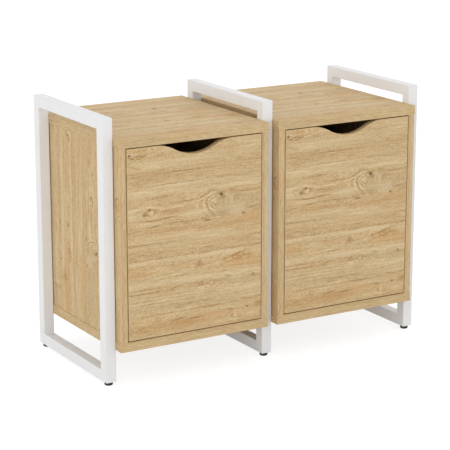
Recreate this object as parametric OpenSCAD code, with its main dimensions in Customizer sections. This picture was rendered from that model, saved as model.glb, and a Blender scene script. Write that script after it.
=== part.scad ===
// A pair of low cabinets hung between three welded tube frames on levelling feet.
// Millimetres. +Z is up, +X runs from the left frame to the right one and the doors face -Y.
// The origin is on the floor, midway between the outer frames and midway front to back.

/* [Frames] */
// Side of the square steel tube
tube = 30; // [26:1:40]
// Wall of the tube
tube_wall = 1.5; // [1.2:0.1:2.5]
// Outer corner radius of the tube
tube_corner = 2; // [1.5:0.5:4]
// Depth of a frame, front to back
frame_depth = 400; // [320:5:600]
// Height of a frame without its feet
frame_height = 690; // [560:5:900]
// Clear gap between a cabinet's top and the top rails
top_gap = 20; // [10:1:50]
// Clear gap between a cabinet's underside and the bottom rails
bottom_gap = 55; // [20:1:100]

/* [Cabinets] */
// Width of a cabinet, which is also the space between two frames
cabinet_width = 440; // [360:5:600]
// How far a cabinet stands out in front of the frames and behind them
overhang = 30; // [22:1:60]
// Thickness of the top and bottom panels
slab = 25; // [22:1:32]
// Thickness of the two side panels
side_thick = 18; // [16:1:22]
// How far a side panel stands back from the ends of the top and bottom panels
side_inset = 2; // [1:0.5:4]
// Thickness of the back panel
back_thick = 18; // [16:1:22]
// Thickness of the edging strips
edging = 1; // [0.5:0.1:2]

/* [Shelf] */
// Thickness of the shelf
shelf_thick = 18; // [16:1:25]
// Height of the shelf's underside above the bottom panel
shelf_rise = 244; // [180:1:280]
// How far the shelf stands back from the door
shelf_setback = 27; // [25:1:80]
// Gap between the shelf and the panels beside and behind it
shelf_gap = 1; // [0.5:0.5:3]
// Diameter of a shelf pin's shank
pin_d = 5; // [4:0.5:6]
// Depth to which a shelf pin goes into a side panel
pin_depth = 9; // [7:0.5:12]
// Step between the rows of shelf pin holes
pin_step = 64; // [32:32:64]
// Distance of the shelf pins from the cabinet's front and rear
pin_inset = 80; // [75:1:110]
// Length of a shelf pin inside the cabinet
pin_head = 8; // [6:0.5:12]
// Thickness of the flat part of a shelf pin that is under the shelf
pin_plate = 2; // [1.5:0.1:2.5]
// Diameter of a shelf pin's shoulder
pin_shoulder_d = 7; // [6.5:0.5:8]

/* [Doors] */
// Thickness of a door
door_thick = 18; // [16:1:20]
// Gap all round a closed door
door_gap = 2.5; // [2:0.25:4]
// Depth of the finger scoop
scoop_depth = 30; // [20:1:45]
// Radius of the scoop's hollow
scoop_radius = 120; // [80:1:150]
// Radius of the scoop's two shoulders
shoulder_radius = 105; // [60:1:130]

/* [Door pivots] */
// Distance of the pivot line from the door's hinge edge
pivot_inset = 25; // [22:1:40]
// Diameter of the pivot pins
pivot_d = 6; // [5:0.5:8]
// Length of a pivot pin in its bush
pivot_reach = 14; // [10:1:18]
// Diameter of a pivot pin's shank in the panel
pivot_shank_d = 8; // [8:0.5:10]
// Depth to which that shank goes into the panel
pivot_shank = 12; // [10:1:15]
// Thickness of a pivot pin's collar
collar = 1; // [0.8:0.1:1.2]
// Outside diameter of a bush
bush_d = 12; // [11:0.5:13]
// Diameter of the collars and of the bush flanges
flange_d = 16; // [15:0.5:17]
// Length of a bush inside the door
bush_length = 15; // [12:1:20]

/* [Magnetic catch] */
// Length of the catch
catch_length = 46; // [42:1:60]
// Depth of the catch, front to back
catch_depth = 14; // [12:1:18]
// How far the catch stands off the side panel
catch_stand = 16; // [14:0.5:18]
// Distance of the magnet's middle from the side panel
magnet_stand = 9; // [8.5:0.25:9.5]
// Thickness of the catch's two ends, where the screws go through
catch_base = 4; // [3:0.5:6]
// Wall of the catch above and below the magnet
catch_wall = 3; // [2:0.5:4]
// Depth of the magnet
magnet_depth = 9; // [7:0.5:10]
// Distance of the catch's middle below the top panel
catch_drop = 52; // [45:1:54]
// Thickness of the magnet
magnet_thick = 5; // [4:0.5:6]
// Length of the magnet and its pole plates
magnet_length = 20; // [15:1:22]
// Thickness of a pole plate
pole_thick = 1.2; // [0.8:0.1:1.6]
// How far the pole plates stand out of the catch
pole_proud = 0.5; // [0.2:0.1:0.8]
// Thickness of the strike plate
strike_thick = 1.5; // [1:0.1:2]
// Width of the strike plate
strike_width = 11; // [9:0.5:11]
// Metal of the strike plate beyond a screw's head
strike_margin = 1; // [0.5:0.5:2]
// Diameter of a small screw's shank
screw_d = 3; // [2.5:0.1:3.5]
// Diameter of a small screw's head
screw_head_d = 6; // [5:0.5:7]
// Length of a small screw
screw_length = 13; // [10:1:14]
// Height of a small screw's countersunk head
screw_cone = 1.6; // [1.2:0.1:2]

/* [Panel joints] */
// Distance of the outer joints from the cabinet's front and rear
joint_inset = 50; // [48:1:60]
// Distance of the back panel's cam joints from the top and bottom panels
back_joint_inset = 63; // [50:1:80]
// Step from a cam joint to the dowel beside it
dowel_step = 64; // [32:1:96]
// Diameter of a dowel
dowel_d = 8; // [6:1:10]
// Length of a dowel
dowel_length = 30; // [25:1:35]
// Depth to which a dowel goes into a panel's face
dowel_sink = 12; // [10:1:13]
// Diameter of a cam lock
cam_d = 15; // [14:0.5:20]
// Depth of a cam lock's pocket
cam_depth = 13; // [12.5:0.25:14]
// Distance of a cam lock's axis from the panel's end
cam_reach = 34; // [30:1:40]
// Diameter of a cam bolt's shank
cam_bolt_d = 5; // [4:0.5:6]
// Diameter of a cam bolt's head
cam_bolt_head_d = 7; // [6.5:0.5:7.5]
// Height of a cam bolt's head
cam_bolt_head = 4; // [3:0.5:5]
// Diameter of the hole through which a cam bolt passes
cam_bolt_hole_d = 8; // [7.5:0.5:9]
// Diameter of a cam bolt's thread in a panel's face
cam_thread_d = 6; // [5.5:0.5:7]
// Depth to which a cam bolt goes into a panel's face
cam_bolt_sink = 11; // [9:1:13]

/* [Frame bolts] */
// Distance of the frame bolts from a cabinet's top and underside
bolt_inset = 110; // [95:1:125]
// Diameter of a frame bolt
bolt_d = 6; // [5:1:7]
// Length of a frame bolt under its head
bolt_length = 30; // [28:1:32]
// Diameter of a frame bolt's head
bolt_head_d = 14; // [12:1:16]
// Height of a frame bolt's head
bolt_head = 3; // [2.5:0.5:4]
// Width of the hexagon socket across its corners
bolt_socket_d = 4.6; // [3.5:0.1:5.5]
// Depth of the hexagon socket
bolt_socket = 2; // [1.5:0.1:2.2]
// Outside diameter of a rivet nut's body
rivet_d = 9; // [8.5:0.5:10]
// Length of a rivet nut's body
rivet_length = 12; // [10:0.5:12]
// Diameter of a rivet nut's rim
rivet_rim_d = 13; // [12:0.5:13.5]
// Thickness of a rivet nut's rim
rivet_rim = 0.8; // [0.5:0.1:1]
// Outside diameter of the spacer ring round a rivet nut
spacer_d = 20; // [18:1:24]

/* [Feet] */
// Height of the tube's underside above the floor with the feet screwed right in
foot_height = 10; // [8:0.5:16]
// Diameter of a foot's pad
foot_d = 22; // [18:1:25]
// Rounding of the pad's lower edge
foot_round = 2.5; // [1:0.5:4]
// Thickness of the rim of a foot's threaded insert
insert_rim = 1.5; // [1:0.1:2]
// Diameter of that rim
insert_rim_d = 15; // [14:0.5:17]
// Outside diameter of that insert's body
insert_d = 11; // [10.5:0.5:13]
// Length of that insert's body
insert_length = 14; // [12:1:18]
// Diameter of a foot's threaded stud
stud_d = 8; // [6:1:8]
// Length of the stud above the pad
stud_length = 23; // [20:1:26]
// Depth to which the stud sits in the pad
stud_seat = 5; // [3:0.5:6]
// Depth of the grip groove round the pad
foot_groove = 0.6; // [0.3:0.1:1]

/* [Hidden] */
$fn = 64;
// Clearances, radial or flat
turn_fit = 0.05;
seat_fit = 0.05;
run_gap = 0.1;
bolt_play = 0.25;
// Overshoot of a cut past the face it opens
over = 1;
// Least inner corner radius of the tube
least_corner = 0.4;

pitch = cabinet_width + tube;
cabinet_x = -pitch / 2;
cabinet_depth = frame_depth + 2 * overhang;
y_front = -cabinet_depth / 2;
y_rear = cabinet_depth / 2;
frame_top = foot_height + frame_height;
cabinet_top = frame_top - tube - top_gap;
cabinet_under = foot_height + tube + bottom_gap;
inner_z0 = cabinet_under + slab;
inner_z1 = cabinet_top - slab;
inner_height = inner_z1 - inner_z0;
inner_half = cabinet_width / 2 - side_inset - side_thick;
post_y = frame_depth / 2 - tube / 2;

door_half = inner_half - door_gap;
door_z0 = inner_z0 + door_gap;
door_z1 = inner_z1 - door_gap;
door_back = y_front + door_thick;
pivot_x = -door_half + pivot_inset;
pivot_y = y_front + door_thick / 2;
scoop_angle = acos(1 - scoop_depth / (scoop_radius + shoulder_radius));
scoop_half = (scoop_radius + shoulder_radius) * sin(scoop_angle);
arc_steps = 20;

shelf_z0 = inner_z0 + shelf_rise;
shelf_y0 = door_back + shelf_setback;
shelf_y1 = y_rear - back_thick - shelf_gap;
pin_y = [y_front + pin_inset, y_rear - pin_inset];
pin_z = shelf_z0 - pin_plate - pin_d / 4;
pin_shoulder = 1.5;

joint_y = [y_front + joint_inset, y_rear - joint_inset];
side_dowel_y = [joint_y[0] + dowel_step, joint_y[1] - dowel_step];
back_y = y_rear - back_thick / 2;
back_cam_z = [inner_z0 + back_joint_inset, inner_z1 - back_joint_inset];
back_dowel_z = [back_cam_z[0] + dowel_step, back_cam_z[1] - dowel_step];
// The cross slot of a cam lock: its width, its depth and the metal left round its ends
cam_slot = 1.6;
cam_slot_depth = 2.5;
cam_slot_rim = 2;
// Room round a cam bolt's head in the lock
cam_bolt_room = 0.35;
// Depth of the cam bolt's axis below the lock's face, which lies in the panel's face
cam_axis_depth = side_thick / 2;

bolt_z = [cabinet_under + bolt_inset, cabinet_top - bolt_inset];
bolt_head_bevel = 1.5;

catch_z = inner_z1 - catch_drop;
catch_x = inner_half - magnet_stand;
catch_screw_z = (catch_length + magnet_length) / 4;
pole_front = door_back + strike_thick + run_gap;
catch_front = pole_front + pole_proud;
catch_bevel = 1.5;
strike_length = 2 * catch_screw_z + screw_head_d + 2 * strike_margin;
screw_slot = 0.8;
screw_slot_depth = 1.2;
screw_tip = 3;
screw_tip_d = 1.4;

pad_height = foot_height - insert_rim;
groove_width = 1.2;
groove_z = pad_height * 0.6;
// Bevel at the ends of pins and studs
tip = 1;

wood = [0.80, 0.68, 0.50];
edge_wood = [0.77, 0.65, 0.47];
white_coat = [0.92, 0.92, 0.92];
black_plastic = [0.10, 0.10, 0.11];
zinc = [0.72, 0.73, 0.75];
black_steel = [0.16, 0.15, 0.15];
beech = [0.83, 0.68, 0.48];

// Places

// The left cabinet's own frame: x is counted from its middle and its hinge side is at -x
module in_left_cabinet() {
    translate([cabinet_x, 0, 0]) children();
}

// The right cabinet is the left one's mirror image, so the two doors open away from each other
module in_right_cabinet() {
    mirror([1, 0, 0]) in_left_cabinet() children();
}

module in_both_cabinets() {
    in_left_cabinet() children();
    in_right_cabinet() children();
}

// Children are drawn for a part on a cabinet's +x side and repeated on its -x side
module on_both_sides() {
    children();
    mirror([1, 0, 0]) children();
}

// A round bar of radius r along +X or +Z from the given point
module bar_x(from, length, r) {
    translate(from) rotate([0, 90, 0]) cylinder(h = length, r = r);
}

module bar_z(from, length, r) {
    translate(from) cylinder(h = length, r = r);
}

// Frames

module rounded_square(side, r) {
    square([side - 2 * r, side], center = true);
    square([side, side - 2 * r], center = true);
    for (x = [-1, 1], y = [-1, 1])
        translate([x * (side / 2 - r), y * (side / 2 - r)]) circle(r = r);
}

module tube_section() {
    difference() {
        rounded_square(tube, tube_corner);
        rounded_square(tube - 2 * tube_wall, max(least_corner, tube_corner - tube_wall));
    }
}

// A slab across the frame's plane whose outline is given in depth and height
module mitre_mask(outline) {
    rotate([90, 0, 90]) linear_extrude(tube + 2 * over, center = true) polygon(outline);
}

// One closed loop of four mitred lengths of tube, centred on x = 0 and standing on z = 0
module tube_loop() {
    half = frame_depth / 2;
    for (s = [-1, 1]) intersection() {
        translate([0, s * post_y, 0]) linear_extrude(frame_height) tube_section();
        mitre_mask([[s * half, 0], [s * half, frame_height],
            [s * (half - tube), frame_height - tube], [s * (half - tube), tube]]);
    }
    for (z = [0, frame_height]) intersection() {
        translate([0, half, z == 0 ? tube / 2 : frame_height - tube / 2])
            rotate([90, 0, 0]) linear_extrude(frame_depth) tube_section();
        mitre_mask([[-half, z], [half, z],
            [half - tube, z == 0 ? tube : z - tube], [tube - half, z == 0 ? tube : z - tube]]);
    }
}

// sides holds -1 or 1 for each face of the posts to which a cabinet is bolted
module frame(sides) {
    color(white_coat) difference() {
        translate([0, 0, foot_height]) tube_loop();
        for (y = [-post_y, post_y]) {
            bar_z([0, y, foot_height - over], tube_wall + 2 * over, insert_d / 2 + seat_fit);
            for (s = sides, z = bolt_z)
                bar_x([s * (tube - tube_wall) / 2 - tube_wall / 2 - over, y, z],
                    tube_wall + 2 * over, rivet_d / 2 + seat_fit);
        }
    }
}

// Each bolt place beside the cabinet's +x side, with x = 0 on the face of the post
module at_bolt_places() {
    for (y = [-post_y, post_y], z = bolt_z)
        translate([cabinet_width / 2, y, z]) children();
}

module rivet_nut() {
    difference() {
        union() {
            bar_x([-rivet_rim, 0, 0], rivet_rim, rivet_rim_d / 2);
            bar_x([-rivet_rim / 2, 0, 0], rivet_length + rivet_rim / 2, rivet_d / 2);
        }
        bar_x([-rivet_rim - over, 0, 0], rivet_length + rivet_rim + 2 * over, bolt_d / 2 + turn_fit);
    }
}

module frame_spacer() {
    difference() {
        bar_x([-side_inset, 0, 0], side_inset, spacer_d / 2);
        bar_x([-side_inset - over, 0, 0], side_inset + 2 * over, rivet_rim_d / 2 + bolt_play);
    }
}

// A flat-headed bolt driven outwards from inside the cabinet
module frame_bolt() {
    head_x = -side_inset - side_thick;
    difference() {
        union() {
            bar_x([head_x - over / 2, 0, 0], bolt_length + over / 2, bolt_d / 2);
            translate([head_x - bolt_head, 0, 0]) rotate([0, 90, 0]) rotate_extrude()
                polygon([[0, 0], [bolt_head_d / 2 - bolt_head_bevel, 0],
                    [bolt_head_d / 2, bolt_head_bevel], [bolt_head_d / 2, bolt_head], [0, bolt_head]]);
        }
        translate([head_x - bolt_head - over, 0, 0]) rotate([0, 90, 0])
            cylinder(h = bolt_socket + over, d = bolt_socket_d, $fn = 6);
    }
}

// Feet

module at_foot(frame_index, end) {
    translate([frame_index * pitch, end * post_y, 0]) children();
}

module at_all_feet() {
    for (i = [-1, 0, 1], end = [-1, 1]) at_foot(i, end) children();
}

module foot_insert() {
    difference() {
        union() {
            bar_z([0, 0, foot_height - insert_rim], insert_rim, insert_rim_d / 2);
            bar_z([0, 0, foot_height - over / 2], insert_length + over / 2, insert_d / 2);
        }
        bar_z([0, 0, pad_height - over], insert_length + insert_rim + 2 * over, stud_d / 2);
    }
}

// A turned pad with a rounded lower edge, a grip groove and a seat for the stud
module foot_pad() {
    r = foot_d / 2;
    color(black_plastic) difference() {
        rotate_extrude() difference() {
            union() {
                square([r - foot_round, pad_height]);
                translate([0, foot_round]) square([r, pad_height - foot_round]);
                translate([r - foot_round, foot_round]) circle(r = foot_round);
            }
            translate([r - foot_groove, groove_z]) square([foot_groove + over, groove_width]);
        }
        bar_z([0, 0, pad_height - stud_seat], stud_seat + over, stud_d / 2);
    }
}

module foot_stud() {
    r = stud_d / 2 - turn_fit;
    color(zinc) translate([0, 0, pad_height - stud_seat]) rotate_extrude()
        polygon([[0, 0], [r, 0], [r, stud_seat + stud_length - tip],
            [r - tip, stud_seat + stud_length], [0, stud_seat + stud_length]]);
}

// Panel joints

// A dowel, or with grow its hole, which is wider all round and deeper on this side of 0.
// The dowel reaches dowel_sink into the face beyond 0, where it seats on the end of its hole.
module dowel_z(grow) {
    bar_z([0, 0, dowel_sink - dowel_length - grow], dowel_length + grow, dowel_d / 2 + grow);
}

module dowel_x(grow) {
    bar_x([dowel_sink - dowel_length - grow, 0, 0], dowel_length + grow, dowel_d / 2 + grow);
}

// Where the side panel meets the top panel (end 1) and the bottom panel (end 0): the children
// point to +z, into the panel that lies across the side panel's end
module at_side_ends(ys) {
    x = inner_half + side_thick / 2;
    for (y = ys) {
        translate([x, y, inner_z1]) children();
        translate([x, y, inner_z0]) mirror([0, 0, 1]) children();
    }
}

// Where the back panel meets the +x side panel: the children point to +x
module at_back_edge(zs) {
    for (z = zs) translate([inner_half, back_y, z]) children();
}

// The bolt screws into the face beyond 0 and its head reaches the cam's axis on this side
module cam_bolt() {
    rotate_extrude() polygon([
        [0, -cam_reach - cam_bolt_head / 2], [cam_bolt_head_d / 2, -cam_reach - cam_bolt_head / 2],
        [cam_bolt_head_d / 2, -cam_reach + cam_bolt_head / 2],
        [cam_bolt_d / 2, -cam_reach + cam_bolt_head / 2], [cam_bolt_d / 2, 0],
        [cam_thread_d / 2, 0], [cam_thread_d / 2, cam_bolt_sink], [0, cam_bolt_sink]]);
}

// The hole in the panel on this side, through which the bolt reaches the lock
module cam_bolt_way() {
    bar_z([0, 0, -cam_reach], cam_reach + over, cam_bolt_hole_d / 2);
}

// The hole in the face beyond 0, into which the bolt screws
module cam_bolt_seat() {
    bar_z([0, 0, -over], cam_bolt_sink + over, cam_thread_d / 2 + seat_fit);
}

// A round lock with a cross slot in its face, which looks to -z, and a way in for the bolt
module cam_lock() {
    difference() {
        cylinder(h = cam_depth, d = cam_d);
        for (a = [0, 90]) rotate([0, 0, a])
            translate([cam_slot_rim - cam_d / 2, -cam_slot / 2, -over])
                cube([cam_d - 2 * cam_slot_rim, cam_slot, over + cam_slot_depth]);
        translate([-cam_bolt_head_d / 2 - seat_fit, 0, cam_axis_depth]) rotate([0, 90, 0])
            cylinder(h = cam_d, r = cam_bolt_head_d / 2 + cam_bolt_room);
    }
}

// A lock in the side panel's inner face, on the axis of the bolt at a side end
module side_lock_place() {
    translate([-side_thick / 2, 0, -cam_reach]) rotate([0, 90, 0]) rotate([0, 0, 180]) children();
}

// A lock in the back panel's rear face, on the axis of the bolt at the back's edge
module back_lock_place() {
    translate([-cam_reach, back_thick / 2, 0]) rotate([90, 0, 0]) children();
}

module all_dowels() {
    on_both_sides() {
        at_side_ends(side_dowel_y) dowel_z(0);
        at_back_edge(back_dowel_z) dowel_x(0);
    }
}

module dowel_holes() {
    on_both_sides() {
        at_side_ends(side_dowel_y) dowel_z(seat_fit);
        at_back_edge(back_dowel_z) dowel_x(seat_fit);
    }
}

module all_cam_bolts() {
    on_both_sides() {
        at_side_ends(joint_y) cam_bolt();
        at_back_edge(back_cam_z) rotate([0, 90, 0]) cam_bolt();
    }
}

module all_cam_locks() {
    on_both_sides() {
        at_side_ends(joint_y) side_lock_place() cam_lock();
        at_back_edge(back_cam_z) back_lock_place() cam_lock();
    }
}

module side_cam_pockets() {
    on_both_sides() at_side_ends(joint_y) side_lock_place()
        translate([0, 0, -over]) cylinder(h = cam_depth + over, d = cam_d + 2 * seat_fit);
}

module back_cam_pockets() {
    on_both_sides() at_back_edge(back_cam_z) back_lock_place()
        translate([0, 0, -over]) cylinder(h = cam_depth + over, d = cam_d + 2 * seat_fit);
}

// Panels of one cabinet

// A panel between z0 and z1 over the cabinet's whole width, bored for everything that enters it
module slab_panel(z0, z1) {
    color(wood) difference() {
        translate([-cabinet_width / 2, y_front + edging, z0])
            cube([cabinet_width, cabinet_depth - edging, z1 - z0]);
        dowel_holes();
        on_both_sides() at_side_ends(joint_y) cam_bolt_seat();
        pivot_shank_holes();
    }
}

module top_panel() {
    slab_panel(inner_z1, cabinet_top);
}

module bottom_panel() {
    slab_panel(cabinet_under, inner_z0);
}

module shelf_pin_holes() {
    for (y = pin_y, row = [-1, 0, 1])
        bar_x([inner_half - over, y, pin_z + row * pin_step], pin_depth + over, pin_d / 2 + seat_fit);
}

// The panel on the +x side; has_catch adds the pilot holes of the catch's screws
module side_panel(has_catch) {
    color(wood) difference() {
        translate([inner_half, y_front + edging, inner_z0])
            cube([side_thick, cabinet_depth - edging, inner_height]);
        dowel_holes();
        at_side_ends(joint_y) cam_bolt_way();
        at_back_edge(back_cam_z) rotate([0, 90, 0]) cam_bolt_seat();
        side_cam_pockets();
        shelf_pin_holes();
        at_bolt_places()
            bar_x([-side_inset - side_thick - over, 0, 0], side_thick + 2 * over, bolt_d / 2 + bolt_play);
        if (has_catch) at_catch_screws() screw_hole();
    }
}

module outer_side() {
    mirror([1, 0, 0]) side_panel(false);
}

module inner_side() {
    side_panel(true);
}

module back_panel() {
    color(wood) difference() {
        translate([-inner_half, y_rear - back_thick, inner_z0])
            cube([2 * inner_half, back_thick, inner_height]);
        dowel_holes();
        on_both_sides() at_back_edge(back_cam_z) rotate([0, 90, 0]) cam_bolt_way();
        back_cam_pockets();
    }
}

// The strips on the front edges of the top, the bottom and the shelf
module front_edging() {
    color(edge_wood) {
        for (z = [cabinet_under, inner_z1])
            translate([-cabinet_width / 2, y_front, z]) cube([cabinet_width, edging, slab]);
        translate([shelf_gap - inner_half, shelf_y0, shelf_z0])
            cube([2 * (inner_half - shelf_gap), edging, shelf_thick]);
    }
}

// The strips on the front edges of both sides
module side_edging() {
    color(edge_wood) on_both_sides()
        translate([inner_half, y_front, inner_z0]) cube([side_thick, edging, inner_height]);
}

// Shelf

module shelf() {
    color(wood) translate([shelf_gap - inner_half, shelf_y0 + edging, shelf_z0])
        cube([2 * (inner_half - shelf_gap), shelf_y1 - shelf_y0 - edging, shelf_thick]);
}

// A shank in the side panel and a flat spoon under the shelf
module shelf_pin() {
    difference() {
        union() {
            bar_x([inner_half - pin_head, 0, pin_z], pin_head + pin_depth, pin_d / 2);
            translate([inner_half - pin_head, -pin_d, shelf_z0 - pin_plate])
                cube([pin_head, 2 * pin_d, pin_plate]);
            bar_x([inner_half - pin_shoulder, 0, pin_z], pin_shoulder, pin_shoulder_d / 2);
        }
        translate([inner_half - 2 * pin_head, -2 * pin_d, shelf_z0]) cube(4 * pin_d);
    }
}

module shelf_pins() {
    color(zinc) on_both_sides() for (y = pin_y) translate([0, y, 0]) shelf_pin();
}

// Door

// The points of an arc about [x, y] between two angles, without its last one
function arc(x, y, r, from, to) = [for (i = [0:arc_steps - 1])
    let (a = from + (to - from) * i / arc_steps) [x + r * cos(a), y + r * sin(a)]];

// The door's scooped top edge from its left end to its right one, moved into the board by inset. The
// scoop is three arcs that run into each other: a shoulder, the hollow and the other shoulder.
function top_edge(inset) = let (z = door_z1 - shoulder_radius) concat(
    [[-door_half, door_z1 - inset]],
    arc(-scoop_half, z, shoulder_radius - inset, 90, 90 - scoop_angle),
    arc(0, door_z1 - scoop_depth + scoop_radius, scoop_radius + inset,
        270 - scoop_angle, 270 + scoop_angle),
    arc(scoop_half, z, shoulder_radius - inset, 90 + scoop_angle, 90),
    [[scoop_half, door_z1 - inset], [door_half, door_z1 - inset]]);

function reversed(points) = [for (i = [len(points) - 1:-1:0]) points[i]];

// The door's face in x and z, with all its edges moved in by the edging
module board_face() {
    intersection() {
        polygon(concat([[-door_half, door_z0]], top_edge(edging), [[door_half, door_z0]]));
        translate([edging - door_half, door_z0 + edging])
            square([2 * (door_half - edging), door_z1 - door_z0]);
    }
}

module door_slice() {
    translate([0, door_back, 0]) rotate([90, 0, 0]) linear_extrude(door_thick) children();
}

module bush_holes() {
    bar_z([pivot_x, pivot_y, door_z0 - over], bush_length + over + seat_fit, bush_d / 2 + seat_fit);
    bar_z([pivot_x, pivot_y, door_z1 - bush_length - seat_fit], bush_length + over + seat_fit,
        bush_d / 2 + seat_fit);
}

module door() {
    color(wood) difference() {
        door_slice() board_face();
        bush_holes();
        at_strike_screws() screw_hole();
    }
}

// One strip follows the scooped top edge and three straight strips close the other edges
module door_edging() {
    color(edge_wood) difference() {
        union() {
            door_slice() polygon(concat(top_edge(0), reversed(top_edge(edging))));
            door_slice() for (s = [-1, 1])
                translate([s > 0 ? door_half - edging : -door_half, door_z0 + edging])
                    square([edging, door_z1 - door_z0 - 2 * edging]);
            door_slice() translate([-door_half, door_z0]) square([2 * door_half, edging]);
        }
        bush_holes();
    }
}

// Pivots

module at_pivots() {
    translate([pivot_x, pivot_y, inner_z0]) children();
    translate([pivot_x, pivot_y, inner_z1]) mirror([0, 0, 1]) children();
}

// The pin stands on z = 0, the face of the panel, with its shank below it
module pivot_pin() {
    r = pivot_d / 2;
    rotate_extrude() polygon([[0, -pivot_shank], [pivot_shank_d / 2, -pivot_shank],
        [pivot_shank_d / 2, 0], [flange_d / 2, 0], [flange_d / 2, collar], [r, collar],
        [r, collar + pivot_reach - tip], [r - tip, collar + pivot_reach], [0, collar + pivot_reach]]);
}

module pivot_shank_holes() {
    at_pivots() bar_z([0, 0, -pivot_shank - seat_fit], pivot_shank + seat_fit + over,
        pivot_shank_d / 2 + seat_fit);
}

module pivot_pins() {
    color(black_steel) at_pivots() pivot_pin();
}

// A flanged bush: the flange fills the gap under the door and the body is in the door
module door_bush() {
    difference() {
        union() {
            bar_z([0, 0, collar + run_gap], door_gap - collar - run_gap, flange_d / 2);
            bar_z([0, 0, door_gap - seat_fit], bush_length + seat_fit, bush_d / 2);
        }
        bar_z([0, 0, collar], bush_length + door_gap + over, pivot_d / 2 + turn_fit);
    }
}

module door_bushes() {
    color(black_plastic) at_pivots() door_bush();
}

// Magnetic catch

// A countersunk screw into a face at z = 0, with its head above it by the given lift
module small_screw() {
    difference() {
        rotate_extrude() polygon([[0, -screw_length], [screw_tip_d / 2, tip - screw_length],
            [screw_d / 2, screw_tip - screw_length], [screw_d / 2, -screw_cone], [screw_head_d / 2, 0],
            [0, 0]]);
        for (a = [0, 90]) rotate([0, 0, a]) translate([-screw_d / 2, -screw_slot / 2, -screw_slot_depth])
            cube([screw_d, screw_slot, screw_slot_depth + over]);
    }
}

module screw_hole() {
    shank = screw_d / 2 + seat_fit;
    head = screw_head_d / 2 + seat_fit;
    rotate_extrude() polygon([[0, -screw_length], [shank, -screw_length],
        [shank, -screw_cone - seat_fit], [head, -seat_fit], [head, over], [0, over]]);
}

// The children point out of the strike plate, to +y
module at_strike_screws() {
    for (s = [-1, 1]) translate([catch_x, door_back + strike_thick, catch_z + s * catch_screw_z])
        rotate([-90, 0, 0]) children();
}

// The children point out of the catch's flank, to -x
module at_catch_screws() {
    for (s = [-1, 1])
        translate([inner_half - catch_base, catch_front + catch_depth / 2, catch_z + s * catch_screw_z])
            rotate([0, -90, 0]) children();
}

// A plate with round ends along z, seated on the door's rear face
module strike_plate() {
    color(zinc) difference() {
        translate([catch_x, door_back, catch_z]) rotate([-90, 0, 0]) linear_extrude(strike_thick) {
            square([strike_width, strike_length - strike_width], center = true);
            for (s = [-1, 1]) translate([0, s * (strike_length - strike_width) / 2])
                circle(d = strike_width);
        }
        at_strike_screws() screw_hole();
    }
}

// Half of the catch's outline against the side panel at x = 0: a low end where the screw goes
// through, and a nose with a bevelled corner over the magnet
function catch_outline(s) = [
    [0, s * catch_length / 2], [-catch_base, s * catch_length / 2],
    [-catch_base, s * (magnet_length / 2 + catch_wall)],
    [catch_bevel - catch_stand, s * (magnet_length / 2 + catch_wall)],
    [-catch_stand, s * (magnet_length / 2 + catch_wall - catch_bevel)]];

// A moulded block, open at the front for the magnet
module catch_housing() {
    pocket = magnet_thick + 2 * pole_thick;
    color(white_coat) difference() {
        translate([inner_half, catch_front + catch_depth, catch_z]) rotate([90, 0, 0])
            linear_extrude(catch_depth)
                polygon(concat(catch_outline(-1), reversed(catch_outline(1))));
        translate([catch_x - pocket / 2, catch_front - over, catch_z - magnet_length / 2])
            cube([pocket, magnet_depth + over, magnet_length]);
        at_catch_screws() screw_hole();
    }
}

// The magnet between its two steel pole plates, which meet the strike plate
module catch_magnet() {
    color(zinc) {
        translate([catch_x - magnet_thick / 2, catch_front, catch_z - magnet_length / 2])
            cube([magnet_thick, magnet_depth, magnet_length]);
        for (x = [catch_x - magnet_thick / 2 - pole_thick, catch_x + magnet_thick / 2])
            translate([x, pole_front, catch_z - magnet_length / 2])
                cube([pole_thick, magnet_depth + pole_proud, magnet_length]);
    }
}

// Nodes

translate([-pitch, 0, 0]) frame([1]);  // left_frame
frame([-1, 1]);  // middle_frame
translate([pitch, 0, 0]) frame([-1]);  // right_frame
color(zinc) in_both_cabinets() on_both_sides() at_bolt_places() rivet_nut();  // post_rivet_nuts
color(zinc) at_all_feet() foot_insert();  // foot_inserts

at_foot(-1, -1) foot_pad();  // left_front_foot_pad
at_foot(-1, 1) foot_pad();  // left_rear_foot_pad
at_foot(0, -1) foot_pad();  // middle_front_foot_pad
at_foot(0, 1) foot_pad();  // middle_rear_foot_pad
at_foot(1, -1) foot_pad();  // right_front_foot_pad
at_foot(1, 1) foot_pad();  // right_rear_foot_pad
at_foot(-1, -1) foot_stud();  // left_front_foot_stud
at_foot(-1, 1) foot_stud();  // left_rear_foot_stud
at_foot(0, -1) foot_stud();  // middle_front_foot_stud
at_foot(0, 1) foot_stud();  // middle_rear_foot_stud
at_foot(1, -1) foot_stud();  // right_front_foot_stud
at_foot(1, 1) foot_stud();  // right_rear_foot_stud

in_left_cabinet() top_panel();  // left_top_panel
in_left_cabinet() bottom_panel();  // left_bottom_panel
in_left_cabinet() outer_side();  // left_outer_side
in_left_cabinet() inner_side();  // left_inner_side
in_left_cabinet() back_panel();  // left_back_panel
in_left_cabinet() front_edging();  // left_front_edging
in_left_cabinet() side_edging();  // left_side_edging
in_left_cabinet() shelf();  // left_shelf
in_left_cabinet() shelf_pins();  // left_shelf_pins
in_left_cabinet() door();  // left_door
in_left_cabinet() door_edging();  // left_door_edging
in_left_cabinet() door_bushes();  // left_door_bushes
in_left_cabinet() pivot_pins();  // left_pivot_pins
in_left_cabinet() strike_plate();  // left_strike_plate
in_left_cabinet() color(zinc) at_strike_screws() small_screw();  // left_strike_screws
in_left_cabinet() catch_housing();  // left_catch_housing
in_left_cabinet() catch_magnet();  // left_catch_magnet

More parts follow.
